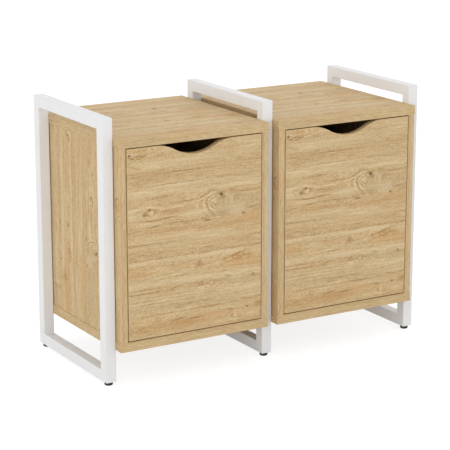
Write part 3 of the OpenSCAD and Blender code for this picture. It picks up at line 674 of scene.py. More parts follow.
PRINT_KNOTS = (
    Knot(60, 460, 100, 50, part=16),
    Knot(60, 457, 46, 35, ring=16, turns=27, open=1),
    Knot(78, 475, 12, 9, part=4),
    Knot(-190, 605, 13, 11, part=3, ring=34, turns=11),
    Knot(-142, 612, 24, 12, part=4, ring=26, turns=12),
    Knot(143, 606, 9, 7, ring=20, turns=8),
    Knot(-134, 450, 26, 18, part=9, ring=24, turns=9),
    Knot(13, 300, 44, 18, part=6, ring=12, turns=12),
    Knot(124, 303, 54, 19, part=7, ring=18, turns=15, open=0.4),
    Knot(172, 250, 9, 8, part=3),
    Knot(155, 163, 10, 7, part=3),
    Knot(45, 243, 40, 14, ring=14, turns=12),
    Knot(118, 142, 22, 16, part=4, ring=16, turns=9, open=1),
    Knot(-360, 312, 34, 16, part=5, ring=24, turns=11),
)
PRINT_MARKS = (
    # Level bands and the seams between them
    plank(548, 22, -6), plank(580, 8, 7), plank(500, 12, 8), plank(484, 8, -5), plank(402, 14, -5, 20),
    plank(340, 10, -7, -6), plank(321.5, 6, 20), plank(290, 18, 0, 50), plank(264, 8, 13),
    plank(243, 6, -5), plank(220, 22, 7, -6), plank(150, 26, 1, 50), plank(330, 1.8, -20),
    plank(251.5, 1.6, -6), plank(180.5, 1.5, -6),
    # The large eye with its dark knot, and the lines that pass over it
    Mark(57, 462, 8, 6, 30), Mark(78, 475, 5, 4.4, -14, 0, 100), Mark(84, 468, 6, 5, 0, 0, 30),
    Mark(70, 480, 10, 4, -14, 0, 20), Mark(33, 456, 2, 11, -34), Mark(40, 457, 2.2, 9, 26),
    Mark(47, 456, 1.8, 8, -30), Mark(52, 489, 16, 2, -34), Mark(56, 483.5, 13, 1.9, 28),
    Mark(26, 456, 3, 15, 34), Mark(18, 456, 2.4, 16, -24), Mark(41, 438, 16, 2.3, -40, slant=-1.1),
    Mark(49, 440, 16, 2.1, 30, slant=-1.1), Mark(33, 434, 16, 2.2, 24, slant=-1.1),
    Mark(-35, 471, 45, 2, -46, slant=0.03), Mark(30, 481, 22, 2.4, -46, slant=0.5),
    Mark(24, 474, 22, 2.6, 30, slant=0.5), Mark(-170, 465, 26, 3, 40, slant=0.15),
    Mark(-120, 465, 28, 3, 36, slant=-0.14), Mark(-55, 460.5, 38, 2.4, 40, slant=0.03),
    Mark(6, 469, 18, 2.6, 34, slant=0.28), Mark(-10, 438, 48, 9, 20), Mark(20, 447, 22, 16, 12),
    Mark(105, 455, 34, 10, 12), Mark(100, 466, 12, 3, 20), Mark(75, 426, 19, 4.5, -30, -50),
    Mark(125, 430, 22, 13, 26, -70), Mark(143, 419, 3.6, 2.2, 0, 0, 90), Mark(147, 415, 12, 6, 0, 60),
    Mark(172, 434, 26, 2, -46, -70), Mark(35, 413, 10, 2, -14, 0, 46), Mark(25, 418.5, 11, 1.6, -34),
    Mark(65, 417, 8, 3, 24), Mark(-30, 413, 4.5, 2, 0, 0, 44), Mark(108, 485, 14, 4, -28),
    Mark(150, 479, 44, 1.9, -36), Mark(160, 491, 42, 1.6, -26), Mark(130, 498, 72, 4, 16),
    # The corner knot and the head of the board
    Mark(-190, 605, 4.4, 3.4, 0, 0, 90), Mark(-186, 598, 9, 2, -34, 0, 16),
    Mark(-164, 602, 17, 2.6, -46, -90, 14, 0.1), Mark(-160, 615, 18, 7, 0, 60),
    Mark(-145, 601, 50, 2, -32, slant=0.3), Mark(-133, 597, 50, 2, 24, slant=0.3),
    Mark(-150, 591, 50, 2, -24, slant=0.3), Mark(-133, 613, 4, 6, 36),
    Mark(-175, 572, 14, 2, -30, slant=-0.3), Mark(112, 609, 34, 8, 2, 55), Mark(-20, 580, 84, 6, 12),
    Mark(-130, 570, 22, 6, 18), Mark(170, 600, 30, 14, 10, -20), Mark(10, 535, 16, 1.7, -40),
    Mark(-45, 517.5, 64, 1.6, 40), Mark(-60, 521.5, 78, 1.6, -30), Mark(-60, 552, 130, 1.9, -24),
    Mark(-90, 491, 44, 1.7, -36), Mark(-110, 487.5, 24, 1.6, -30), Mark(-165, 508, 40, 1.8, 26),
    # The small eye
    Mark(-133, 460, 3.8, 2.2, 0, 0, 110), Mark(-148, 447, 8, 4, -20, 0, 34), Mark(-125, 440, 13, 5, 26),
    Mark(-180, 445, 20, 14, 14), Mark(-140, 424, 30, 5, 28), Mark(-118, 415, 9, 2.2, 0, 0, 50),
    Mark(-130, 414, 12, 1.8, -26), Mark(-135, 431, 22, 1.8, -34), Mark(-70, 452, 36, 5, -16, 40),
    Mark(-85, 433, 44, 2.2, -32, slant=0.12), Mark(-60, 419, 54, 1.9, -26),
    # The warm middle and the streaked grey band under it
    Mark(-130, 396, 90, 12, -4, 45), Mark(-190, 405, 20, 2, -34, slant=0.1),
    Mark(-35, 386, 30, 1.9, 32, slant=0.06), Mark(-165, 370, 38, 1.8, -44, -50),
    Mark(40, 372, 64, 2.2, 26), Mark(180, 357, 24, 1.7, -30), Mark(150, 351, 19, 2.2, -38),
    Mark(30, 343, 24, 1.6, -34), Mark(70, 381, 60, 3, 14), Mark(186, 330, 9, 1.6, 0, 0, 36),
    Mark(-104, 333, 6, 1.6, -36), Mark(20, 346, 20, 1.4, 26),
    # The middle knot and the warm arches beside it
    Mark(13, 300, 10, 6.5, -20, 50, 26), Mark(12, 304, 4, 2.4, 0, 0, 36), Mark(0, 291, 6, 1.8, 0, 0, 36),
    Mark(125, 300, 50, 15, -10, 52), Mark(122, 311, 42, 3, -44, 30, 0, 0.26), Mark(145, 299, 6, 3.5, 40),
    Mark(112, 297, 24, 2, -30, 30, 0, 0.2), Mark(185, 301, 10, 7, 26), Mark(-62, 281, 11, 2, 48),
    Mark(-40, 276.5, 44, 1.3, -40), Mark(115, 285, 72, 8, -4, 45), Mark(-70, 264, 120, 6, 8),
    Mark(-175, 300, 26, 7, 0, 45), Mark(-105, 302, 22, 10, 12, -40), Mark(-45, 303, 30, 6, 0, 45),
    Mark(-170, 291, 30, 1.6, -26), Mark(60, 296, 18, 5, 14), Mark(90, 270, 90, 3, -12, 20),
    # The flecked pale band
    Mark(-150, 251.5, 46, 1.7, -28), Mark(-170, 242, 120, 2.4, -26),
    Mark(-64, 246, 8, 1.6, -40, slant=0.5), Mark(45, 247, 46, 5, -20), Mark(35, 249, 9, 1.8, 36),
    Mark(37, 240, 6, 2, 32), Mark(145, 240, 50, 10, 0, -60), Mark(172, 250, 4.6, 3.2, -16, 0, 50),
    Mark(20, 232, 3.5, 5, 44), Mark(12, 237, 8, 1.5, 32), Mark(120, 228, 13, 2, 46),
    Mark(45, 222, 20, 3.4, -24), Mark(-140, 222, 14, 2.2, -28), Mark(-50, 220, 16, 2.2, -26),
    Mark(-17, 197.5, 6, 1.5, 0, 0, 44), Mark(-50, 191, 12, 1.5, -36), Mark(5, 191, 8, 1.5, -32),
    Mark(32, 189, 7, 1.6, 0, 0, 40, -0.5), Mark(45, 181, 44, 2, -38), Mark(-20, 200, 40, 6, -10, 20),
    # The warm foot of the board
    Mark(-68, 156.5, 11, 1.6, 0, 0, 56, 0.3), Mark(-50, 161, 13, 1.4, 0, -30, 66),
    Mark(-3, 156.5, 23, 1.6, -22, 0, 56), Mark(-50, 152, 18, 5, -20, 45),
    Mark(-155, 160, 14, 1.6, 40, slant=-0.2), Mark(78, 171, 7, 2.8, 34),
    Mark(155, 163, 3.6, 2.2, 0, 0, 90), Mark(192, 167, 13, 9, -32, 40), Mark(118, 142, 3.4, 13, 38),
    Mark(168, 143, 22, 6, 26), Mark(-15, 149, 20, 4, -20), Mark(103, 163, 9, 2.2, -32),
    Mark(-113, 165, 12, 12, -16), Mark(-95, 130, 22, 5, 22), Mark(40, 168, 46, 5, 10),
    Mark(-150, 145, 40, 10, -6, 20),
    # What lies past the door's ends and is seen on the sides and the tops
    Mark(-356, 314, 9, 3.4, 0, 0, 80), Mark(-370, 308, 7, 3.4, 0, 0, 86), Mark(-338, 284, 46, 6, -8, -80),
    Mark(240, 271, 20, 11, -30, 10, 12), Mark(270, 445, 110, 16, 3, -50), Mark(-245, 459, 9, 4, 0, 0, 40),
    Mark(-290, 441, 14, 8, -26), Mark(-340, 448, 46, 12, -14), Mark(300, 215, 9, 30, -20, 30),
    Mark(282, 215, 9, 28, 18), Mark(-230, 262, 60, 6, 16),
)


class Finishes:
    """Every finish of the object, each made a material once."""

    def __init__(self) -> None:
        """Builds the materials."""
        marked = (PRINT_KNOTS, PRINT_MARKS)
        self.door = OakLaminate("oak_door", *marked).material()
        self.top = OakLaminate("oak_top", *marked, Sheet(1.25, 0.0068, 1.067, 0.3768)).material()
        self.side = OakLaminate("oak_side", *marked, Sheet(-1.5625, 0.5833, -1.0753, 0.3753)).material()
        self.plain = OakLaminate("oak_board", *marked, Sheet(1.0, -0.35, 1.0, 0.30), seed=60.0).material()
        self.edging = OakLaminate("oak_edging", sheet=Sheet(along_scale=0.35), contrast=0.85, seed=17.0,
                                  waviness=0.002).material()
        self.frame = CoatedFinish("white_powder_coat", Colour(235, 235, 235), Colour(233, 233, 234),
                                  gloss=(0.42, 0.48), peel=1100.0, depth=0.00002).material()
        self.black = CoatedFinish("black_plastic", Colour(30, 30, 32), Colour(38, 38, 40),
                                  gloss=(0.28, 0.4), peel=2500.0, cloud=140.0, depth=0.00004).material()
        self.white = CoatedFinish("white_plastic", Colour(228, 228, 224), Colour(222, 222, 218),
                                  gloss=(0.35, 0.45), peel=1800.0, cloud=90.0, depth=0.00004).material()
        self.zinc = CoatedFinish("zinc_plate", Colour(206, 208, 212), Colour(190, 194, 203), 1.0,
                                 gloss=(0.24, 0.38), peel=1500.0, cloud=220.0, depth=0.00003).material()
        self.dark_steel = CoatedFinish("black_steel", Colour(44, 42, 41), Colour(56, 53, 51), 0.8,
                                       gloss=(0.35, 0.5), peel=2000.0, cloud=200.0, depth=0.00003).material()
        self.magnet = CoatedFinish("ground_steel", Colour(150, 150, 152), Colour(120, 120, 124), 1.0,
                                   gloss=(0.35, 0.5), peel=2600.0, cloud=300.0, depth=0.00004).material()
        self.beech = BeechFinish().material()


# Meshes


SAME_POINT = 0.002 * MM
FLAT_ANGLE = math.radians(0.5)
SHARP_ANGLE = math.radians(50)
FLAT_FACE_AREA = 1e-5
SQUARE_ON = 0.99999


def smooth(mesh: Mesh, crease: Crease) -> Mesh:
    """Shades a mesh smooth, apart from sharp edges and from large level or upright faces.

    Args:
        mesh: the mesh.
        crease: where its sharp edges begin.

    Returns:
        The same mesh.
    """
    mesh.shade_smooth()
    mesh.set_sharp_from_angle(angle=math.radians(crease.value))
    for face in mesh.polygons:
        if face.area > FLAT_FACE_AREA and max(abs(part) for part in face.normal) > SQUARE_ON:
            face.use_smooth = False
    return mesh


def merged(node: str) -> BMesh:
    """Copies a CAD node's mesh, merges it and dissolves its flat areas.

    Args:
        node: the CAD node.

    Returns:
        The copy.
    """
    bm = bmesh.new()
    bm.from_mesh(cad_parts[node].data)
    bmesh.ops.remove_doubles(bm, verts=bm.verts, dist=SAME_POINT)
    bmesh.ops.dissolve_limit(bm, angle_limit=FLAT_ANGLE, verts=bm.verts, edges=bm.edges, delimit={"NORMAL"})
    return bm


def islands(bm: BMesh) -> list[list[BMVert]]:
    """Finds the loose parts of a mesh.

    Args:
        bm: the mesh.

    Returns:
        The vertices of each part.
    """
    left = dict.fromkeys(bm.verts)
    found = []
    while left:
        part = [next(iter(left))]
        del left[part[0]]
        for vert in part:
            for edge in vert.link_edges:
                other = edge.other_vert(vert)
                if other in left:
                    del left[other]
                    part.append(other)
        found.append(part)
    return found


def extent(points: Iterable[Vector]) -> tuple[Vector, Vector]:
    """The lowest and highest corner of some points."""
    columns = list(zip(*points))
    return Vector([min(column) for column in columns]), Vector([max(column) for column in columns])


def solid_boxes(node: str) -> list[tuple[Vector, Vector]]:
    """Measures each separate solid of a CAD node.

    Args:
        node: the CAD node.

    Returns:
        The lowest and highest corner of each solid.
    """
    bm = merged(node)
    boxes = [extent(v.co for v in part) for part in islands(bm)]
    bm.free()
    return boxes


def middle_x(node: str) -> float:
    """The x of a CAD node's middle."""
    low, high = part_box(node)
    return (low[0] + high[0]) / 2


def to_mesh(bm: BMesh, name: str) -> Mesh:
    """Turns a bmesh into a new mesh and frees it.

    Args:
        bm: the bmesh.
        name: the mesh's name.

    Returns:
        The mesh.
    """
    mesh = bpy.data.meshes.new(name)
    bm.to_mesh(mesh)
    bm.free()
    return mesh


def linked(name: str, data: bpy.types.ID) -> Object:
    """Makes an object of some data in the scene.

    Args:
        name: the object's name.
        data: its mesh, camera or lamp.

    Returns:
        The object, at the origin.
    """
    made = bpy.data.objects.new(name, data)
    bpy.context.scene.collection.objects.link(made)
    return made


def place(mesh: Mesh, name: str, material: Material) -> Object:
    """Makes a piece at the origin from a mesh.

    Args:
        mesh: the mesh, with its place in it.
        name: the piece's name.
        material: its only material.

    Returns:
        The piece.
    """
    mesh.name = name
    mesh.materials.clear()
    mesh.materials.append(material)
    return linked(name, mesh)


def hand_over(piece: Object, body: str, slot: Slot, *nodes: str) -> None:
    """Makes a piece ride on its body.

    Args:
        piece: the finished piece.
        body: the body that it moves with.
        slot: not used.
        nodes: the CAD nodes that it stands for, which are hidden.
    """
    if nodes:
        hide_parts(*nodes)
    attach(piece, body)
    log.info("%s: %d faces, rides on %s, stands for %s", piece.name, len(piece.data.polygons), body,
             ", ".join(nodes) or "nothing")


def dress(bm: BMesh, node: str, word: str, material: Material, body: str, slot: Slot,
          crease: Crease = Crease.BOARD) -> None:
    """Makes a worked copy of a CAD node the piece that stands for it.

    Args:
        bm: the copy.
        node: the CAD node.
        word: what the piece's name has after the node's.
        material: its finish.
        body: the body that it moves with.
        slot: its material slot in the record.
        crease: where its sharp edges begin.
    """
    mesh = smooth(to_mesh(bm, node), crease)
    hand_over(place(mesh, f"{node}_{word}", material), body, slot, node)


def paint(node: str, material: Material) -> None:
    """Gives a CAD node that stays a better material.

    Args:
        node: the CAD node.
        material: the material.
    """
    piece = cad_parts[node]
    piece.data.materials.clear()
    piece.data.materials.append(material)
    log.info("%s: the CAD node with %s", node, material.name)


@dataclass(frozen=True)
class GrainMap:
    """Where a board's printed grain lies: it runs along one axis, and along another where it can't.

    A face that looks the other way than the shown one, or across the grain, gets another part of the
    print, as far away as `hidden_shift` and `end_shift` say.
    """

    along: Axis
    instead: Axis
    middle: float = 0.0
    shown: tuple[int, int, int] = (0, 1, 1)
    hidden_shift: float = 3.3
    end_shift: float = 7.7

    def lay(self, bm: BMesh) -> None:
        """Writes the grain map, in metres, on every face of a mesh.

        Args:
            bm: the board's mesh.
        """
        layer = bm.loops.layers.uv.new("grain")
        start = Vector((self.middle, 0.0, 0.0))
        for face in bm.faces:
            sizes = [abs(c) for c in face.normal]
            through = sizes.index(max(sizes))
            end = self.along.value == through
            along = self.instead.value if end else self.along.value
            across = 3 - through - along
            hidden = face.normal[through] * self.shown[through] < 0
            away = hidden * self.hidden_shift + end * self.end_shift
            for loop in face.loops:
                at = loop.vert.co - start
                loop[layer].uv = (at[along], at[across] + away)


def on_plane(edge: BMEdge, axis: Axis, level: float) -> bool:
    """Whether an edge lies in a plane across an axis."""
    return all(abs(v.co[axis.value] - level) < CLOSE for v in edge.verts)


def bevel(bm: BMesh, width: float, chosen: Callable[[BMEdge], bool]) -> None:
    """Rounds the sharp edges that a test chooses.

    Args:
        bm: the mesh.
        width: how far the rounding reaches on each side of an edge.
        chosen: the test.
    """
    sharp = [e for e in bm.edges if len(e.link_faces) == 2 and e.calc_face_angle(0.0) > SHARP_ANGLE]
    bmesh.ops.bevel(bm, geom=[e for e in sharp if chosen(e)], offset=width, offset_type="OFFSET",
                    segments=2, profile=0.5, affect="EDGES", clamp_overlap=True)


def lathe(profile: Sequence[Pair], steps: int, name: str, centre: Triple = (0.0, 0.0, 0.0)) -> Mesh:
    """Turns a profile of radius and height about an upright axis into a closed shape.

    Args:
        profile: points from the lowest on the axis to the highest on it.
        steps: faces round the axis.
        name: the mesh's name.
        centre: where the axis stands.

    Returns:
        The shape, with its faces outwards.
    """
    bm = bmesh.new()
    turns = [2 * math.pi * i / steps for i in range(steps)]
    rings = []
    for radius, height in profile:
        spokes = turns if radius else turns[:1]
        rings.append([bm.verts.new((radius * math.cos(a), radius * math.sin(a), height)) for a in spokes])
    for low, high in zip(rings, rings[1:]):
        for i in range(steps):
            j = (i + 1) % steps
            corners = [low[i % len(low)], low[j % len(low)], high[j % len(high)], high[i % len(high)]]
            corners = list(dict.fromkeys(corners))
            if len(corners) > 2:
                bm.faces.new(corners)
    bmesh.ops.recalc_face_normals(bm, faces=bm.faces)
    bmesh.ops.translate(bm, verts=bm.verts, vec=Vector(centre))
    return to_mesh(bm, name)


def in_mm(*points: Pair) -> list[Pair]:
    """Points in millimetres as points in metres."""
    return [(first * MM, second * MM) for first, second in points]


def prism(outline: Sequence[Pair], low: float, high: float, name: str) -> Mesh:
    """Makes a closed shape with an outline in x and y between two heights.

    Args:
        outline: the corners, against the clock.
        low: the lower height.
        high: the upper height.
        name: the mesh's name.

    Returns:
        The shape.
    """
    bm = bmesh.new()
    rings = [[bm.verts.new((x, y, z)) for x, y in outline] for z in (low, high)]
    bm.faces.new(list(reversed(rings[0])))
    bm.faces.new(rings[1])
    for i in range(len(outline)):
        j = (i + 1) % len(outline)
        bm.faces.new((rings[0][i], rings[0][j], rings[1][j], rings[1][i]))
    bmesh.ops.recalc_face_normals(bm, faces=bm.faces)
    return to_mesh(bm, name)


def evaluated(piece: Object) -> Mesh:
    """The plain mesh of a piece with its modifiers applied."""
    graph = bpy.context.evaluated_depsgraph_get()
    return bpy.data.meshes.new_from_object(piece.evaluated_get(graph))


def cut(body: Mesh, tool: Mesh) -> Mesh:
    """Cuts one mesh out of another.

    Args:
        body: what is cut.
        tool: what is taken away.

    Returns:
        What is left of the body.
    """
    objects = [linked(f"cut_{i}", mesh) for i, mesh in enumerate((body, tool))]
    modifier = objects[0].modifiers.new("cut", "BOOLEAN")
    modifier.operation = "DIFFERENCE"
    modifier.solver = "EXACT"
    modifier.object = objects[1]
    result = evaluated(objects[0])
    for item in objects:
        bpy.data.objects.remove(item)
    return result


# Geometry node trees


class GrowingBench(Bench):
    """A bench on a geometry tree, which gets a geometry, its named sizes and a material."""

    def __init__(self, name: str, inputs: dict[str, str]) -> None:
        """Makes the tree.

        Args:
            name: the tree's name.
            inputs: the names of its own inputs and the ends of their socket types.
        """
        sockets = {"Geometry": "Geometry", **inputs, "Material": "Material"}
        bench, given, made = new_group(name, sockets, {"Geometry": "Geometry"}, "GeometryNodeTree")
        super().__init__(bench.tree)
        self.put = given.outputs
        self.result = made.inputs["Geometry"]

    def beside(self, added: NodeSocket) -> NodeSocket:
        """Moves what was made to the input Base and joins it with what the tree gets.

        Args:
            added: what was made.

        Returns:
            Both together.
        """
        moved = self.make("GeometryNodeTransform", {"Geometry": added, "Translation": self.put["Base"]})
        both = self.add("GeometryNodeJoinGeometry")
        for part in (moved.outputs[0], self.put["Geometry"]):
            self.feed(both.inputs[0], part)
        return both.outputs[0]

    def finish(self, geometry: NodeSocket) -> NodeTree:
        """Ends the tree in Realize Instances and Set Material.

        Args:
            geometry: what the tree has made.

        Returns:
            The tree.
        """
        real = self.make("GeometryNodeRealizeInstances", {"Geometry": geometry}).outputs[0]
        dressed = self.make("GeometryNodeSetMaterial", {"Geometry": real, "Material": self.put["Material"]})
        self.feed(self.result, dressed.outputs[0])
        return self.tree


def build_weld_tree() -> NodeTree:
    """A rippled bead along each edge of the mesh that the tree gets.

    Returns:
        The tree.
    """
    bench = GrowingBench("weld_beads", dict.fromkeys(("Radius", "Ripple Step", "Ripple Depth"), "Float"))
    put = bench.put
    path = bench.make("GeometryNodeMeshToCurve", {"Mesh": put["Geometry"]})
    fine = bench.add("GeometryNodeResampleCurve", mode="LENGTH")
    bench.fill(fine, {"Curve": path.outputs[0], "Length": bench.math("DIVIDE", put["Ripple Step"], 6.0)})
    way = bench.add("GeometryNodeSplineParameter").outputs["Length"]
    turn = bench.math("MULTIPLY", bench.math("DIVIDE", way, put["Ripple Step"]), 2 * math.pi)
    ripple = bench.math("MULTIPLY", bench.math("SINE", turn), put["Ripple Depth"])
    ring = bench.make("GeometryNodeCurvePrimitiveCircle", {"Resolution": 12, "Radius": put["Radius"]})
    bead = bench.make("GeometryNodeCurveToMesh", {
        "Curve": fine.outputs[0], "Profile Curve": ring.outputs[0], "Fill Caps": True,
        "Scale": bench.math("ADD", 1.0, ripple)})
    return bench.finish(bead.outputs[0])


def build_thread_tree() -> NodeTree:
    """A screw thread round each stud core that the tree gets.

    Returns:
        The tree.
    """
    floats = ("Core Radius", "Ridge", "Pitch", "Length")
    bench = GrowingBench("stud_thread", {**dict.fromkeys(floats, "Float"), "Base": "Vector"})
    put = bench.put
    helix = bench.make("GeometryNodeCurveSpiral", {
        "Resolution": 20, "Rotations": bench.math("DIVIDE", put["Length"], put["Pitch"]),
        "Start Radius": put["Core Radius"], "End Radius": put["Core Radius"], "Height": put["Length"]})
    upright = bench.add("GeometryNodeSetCurveNormal", mode="Z_UP")
    bench.feed(upright.inputs["Curve"], helix.outputs[0])
    ridge = bench.make("GeometryNodeCurvePrimitiveCircle", {"Resolution": 4, "Radius": put["Ridge"]})
    swept = bench.make("GeometryNodeCurveToMesh", {
        "Curve": upright.outputs[0], "Profile Curve": ridge.outputs[0], "Fill Caps": True})
    return bench.finish(bench.beside(swept.outputs[0]))


def build_rib_tree() -> NodeTree:
    """Upright grip ribs round the turned pad that the tree gets.

    Returns:
        The tree.
    """
    bench = GrowingBench("pad_ribs", {"Radius": "Float", "Count": "Int", "Rib Radius": "Float",
                                      "Rib Height": "Float", "Base": "Vector"})
    put = bench.put
    ring = bench.make("GeometryNodeCurvePrimitiveCircle", {
        "Resolution": put["Count"], "Radius": put["Radius"]})
    rib = bench.make("GeometryNodeMeshCylinder", {
        "Vertices": 10, "Radius": put["Rib Radius"], "Depth": put["Rib Height"]})
    set_out = bench.make("GeometryNodeInstanceOnPoints", {
        "Points": ring.outputs[0], "Instance": rib.outputs["Mesh"]})
    return bench.finish(bench.beside(set_out.outputs[0]))


def build_place_tree() -> NodeTree:
    """A copy of one piece on each point that the tree gets, turned by the point's own turn.

    Returns:
        The tree.
    """
    bench = GrowingBench("set_in_places", {"Piece": "Object"})
    piece = bench.make("GeometryNodeObjectInfo", {"Object": bench.put["Piece"]})
    turn = bench.add("GeometryNodeInputNamedAttribute", data_type="FLOAT_VECTOR")
    bench.feed(turn.inputs["Name"], "turn")
    turned = bench.make("FunctionNodeEulerToRotation", {"Euler": turn.outputs["Attribute"]})
    copies = bench.make("GeometryNodeInstanceOnPoints", {
        "Points": bench.put["Geometry"], "Instance": piece.outputs["Geometry"],
        "Rotation": turned.outputs[0]})
    return bench.finish(copies.outputs[0])


class Trees:
    """The geometry trees, each built once."""

    weld = build_weld_tree()
    thread = build_thread_tree()
    ribs = build_rib_tree()
    places = build_place_tree()


def grow(start: Mesh, tree: NodeTree, inputs: dict[str, object], name: str, material: Material) -> Object:
    """Runs a geometry tree on a mesh and makes the result a plain piece.

    Args:
        start: the mesh that the tree gets.
        tree: the geometry node tree.
        inputs: its named inputs, apart from Geometry and Material.
        name: the piece's name.
        material: its finish.

    Returns:
        The piece, with no modifier on it.
    """
    carrier = linked(name + "_start", start)
    modifier = carrier.modifiers.new("grow", "NODES")
    modifier.node_group = tree
    sockets = {item.name: item for item in tree.interface.items_tree
               if item.item_type == "SOCKET" and item.in_out == "INPUT"}
    for label, value in {**inputs, "Material": material}.items():
        modifier[sockets[label].identifier] = value
    mesh = evaluated(carrier)
    bpy.data.objects.remove(carrier)
    return place(smooth(mesh, Crease.GROWN), name, material)


@dataclass(frozen=True)
class Spot:
    """Where a repeated piece goes, and the way that its own +Z points there."""

    at: Vector
    towards: Vector


def set_in_places(spots: Sequence[Spot], pattern: Mesh, name: str, material: Material) -> Object:
    """Copies a piece to every spot through a geometry tree.

    Args:
        spots: the places.
        pattern: the piece, with its foot at 0 and its face to +Z.
        name: the result's name.
        material: its finish.

    Returns:
        One plain piece that holds all the copies.
    """
    holder = linked(name + "_pattern", pattern)
    points = bpy.data.meshes.new(name + "_points")
    points.from_pydata([tuple(s.at) for s in spots], [], [])
    turns = points.attributes.new("turn", "FLOAT_VECTOR", "POINT")
    for item, spot in zip(turns.data, spots):
        item.vector = spot.towards.to_track_quat("Z", "Y").to_euler()
    piece = grow(points, Trees.places, {"Piece": holder}, name, material)
    bpy.data.objects.remove(holder)
    return piece


# Sub-assemblies


@dataclass
class TubeFrame:
    """One welded loop of square tube and the beads in its inner corners."""

    node: str
    finishes: Finishes
    bead_radius: float = 2.2 * MM
    bead_clear: float = 0.3 * MM
    bead_end: float = 2.5 * MM
    ripple_step: float = 2.4 * MM
    ripple_depth: float = 0.10

    def build_loop(self) -> None:
        """Dresses a merged copy of the loop, so that its rounded edges shade smoothly."""
        dress(merged(self.node), self.node, "tube", self.finishes.frame, "carcass", Slot.FRAME,
              Crease.MOULDED)

    def build_beads(self) -> None:
        """Lays a weld bead across the tube in each inner corner."""
        low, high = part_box(self.node)
        inset = high[0] - low[0] + self.bead_clear
        ends = (low[0] + self.bead_end, high[0] - self.bead_end)
        verts = [(x, y, z) for y in (low[1] + inset, high[1] - inset)
                 for z in (low[2] + inset, high[2] - inset) for x in ends]
        mesh = bpy.data.meshes.new(self.node + "_corners")
        mesh.from_pydata(verts, [(i, i + 1) for i in range(0, len(verts), 2)], [])
        sizes = {"Radius": self.bead_radius, "Ripple Step": self.ripple_step,
                 "Ripple Depth": self.ripple_depth}
        piece = grow(mesh, Trees.weld, sizes, f"{self.node}_weld_beads", self.finishes.frame)
        hand_over(piece, "carcass", Slot.FRAME)

    def build(self) -> None:
        """Builds the loop and its beads."""
        self.build_loop()
        self.build_beads()


@dataclass
class LevellingFoot:
    """A ribbed pad on a threaded stud."""

    name: str
    finishes: Finishes
    rib_count: int = 28
    rib_radius: float = 0.55 * MM
    rib_share: float = 0.52
    rib_start: float = 2.4 * MM
    core_drop: float = 0.55 * MM
    foot_round: float = 2.2 * MM
    pitch: float = 1.25 * MM
    ridge: float = 0.52 * MM
    thread_start: float = 0.8 * MM
    thread_short: float = 2.2 * MM

    def sizes(self, part: str) -> tuple[str, float, Vector, float, float]:
        """Measures the pad or the stud.

        Args:
            part: which of them.

        Returns:
            The node, its radius, its middle at height 0, its foot and its head.
        """
        node = f"{self.name}_foot_{part}"
        low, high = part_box(node)
        centre = Vector((middle_x(node), (low[1] + high[1]) / 2, 0.0))
        return node, (high[0] - low[0]) / 2, centre, low[2], high[2]

    def pad_profile(self, r: float, low: float, high: float) -> list[Pair]:
        """Draws the turned pad's outline from the floor up, with a rounded foot and a stepped neck.

        Args:
            r: the pad's radius between the ribs.
            low: its foot.
            high: its head.

        Returns:
            Points of radius and height.
        """
        foot = self.foot_round
        arc = [(r - foot + foot * math.sin(a), low + foot - foot * math.cos(a))
               for a in (math.radians(d) for d in range(0, 91, 15))]
        steps = in_mm((0, 1.2), (0.5, 0.5), (1.3, 0.3), (1.8, 0))
        neck = [(r - inwards, high - down) for inwards, down in steps]
        return [(0.0, low), *arc, *neck, (0.0, high)]

    def build_pad(self) -> None:
        """Turns the pad and sets the ribs round it."""
        node, radius, centre, low, high = self.sizes("pad")
        core = radius - self.core_drop
        height = (high - low) * self.rib_share
        base = centre + Vector((0, 0, low + self.rib_start + height / 2))
        inputs = {"Radius": core, "Count": self.rib_count, "Rib Radius": self.rib_radius,
                  "Rib Height": height, "Base": base}
        start = lathe(self.pad_profile(core, low, high), 72, node, centre)
        piece = grow(start, Trees.ribs, inputs, f"{node}_moulded", self.finishes.black)
        hand_over(piece, f"{self.name}_foot", Slot.BLACK, node)

    def build_stud(self) -> None:
        """Turns the stud's core and sweeps the thread round it."""
        node, radius, centre, low, high = self.sizes("stud")
        core = radius - self.ridge
        chamfer = 1 * MM
        outline = [(0, low), (core, low), (core, high - chamfer), (core - chamfer, high), (0, high)]
        inputs = {"Core Radius": core, "Ridge": self.ridge, "Pitch": self.pitch,
                  "Length": high - low - self.thread_short,
                  "Base": centre + Vector((0, 0, low + self.thread_start))}
        piece = grow(lathe(outline, 40, node, centre), Trees.thread, inputs, f"{node}_threaded",
                     self.finishes.zinc)
        hand_over(piece, f"{self.name}_foot", Slot.ZINC, node)

    def build(self) -> None:
        """Builds the pad and the stud."""
        self.build_pad()
        self.build_stud()


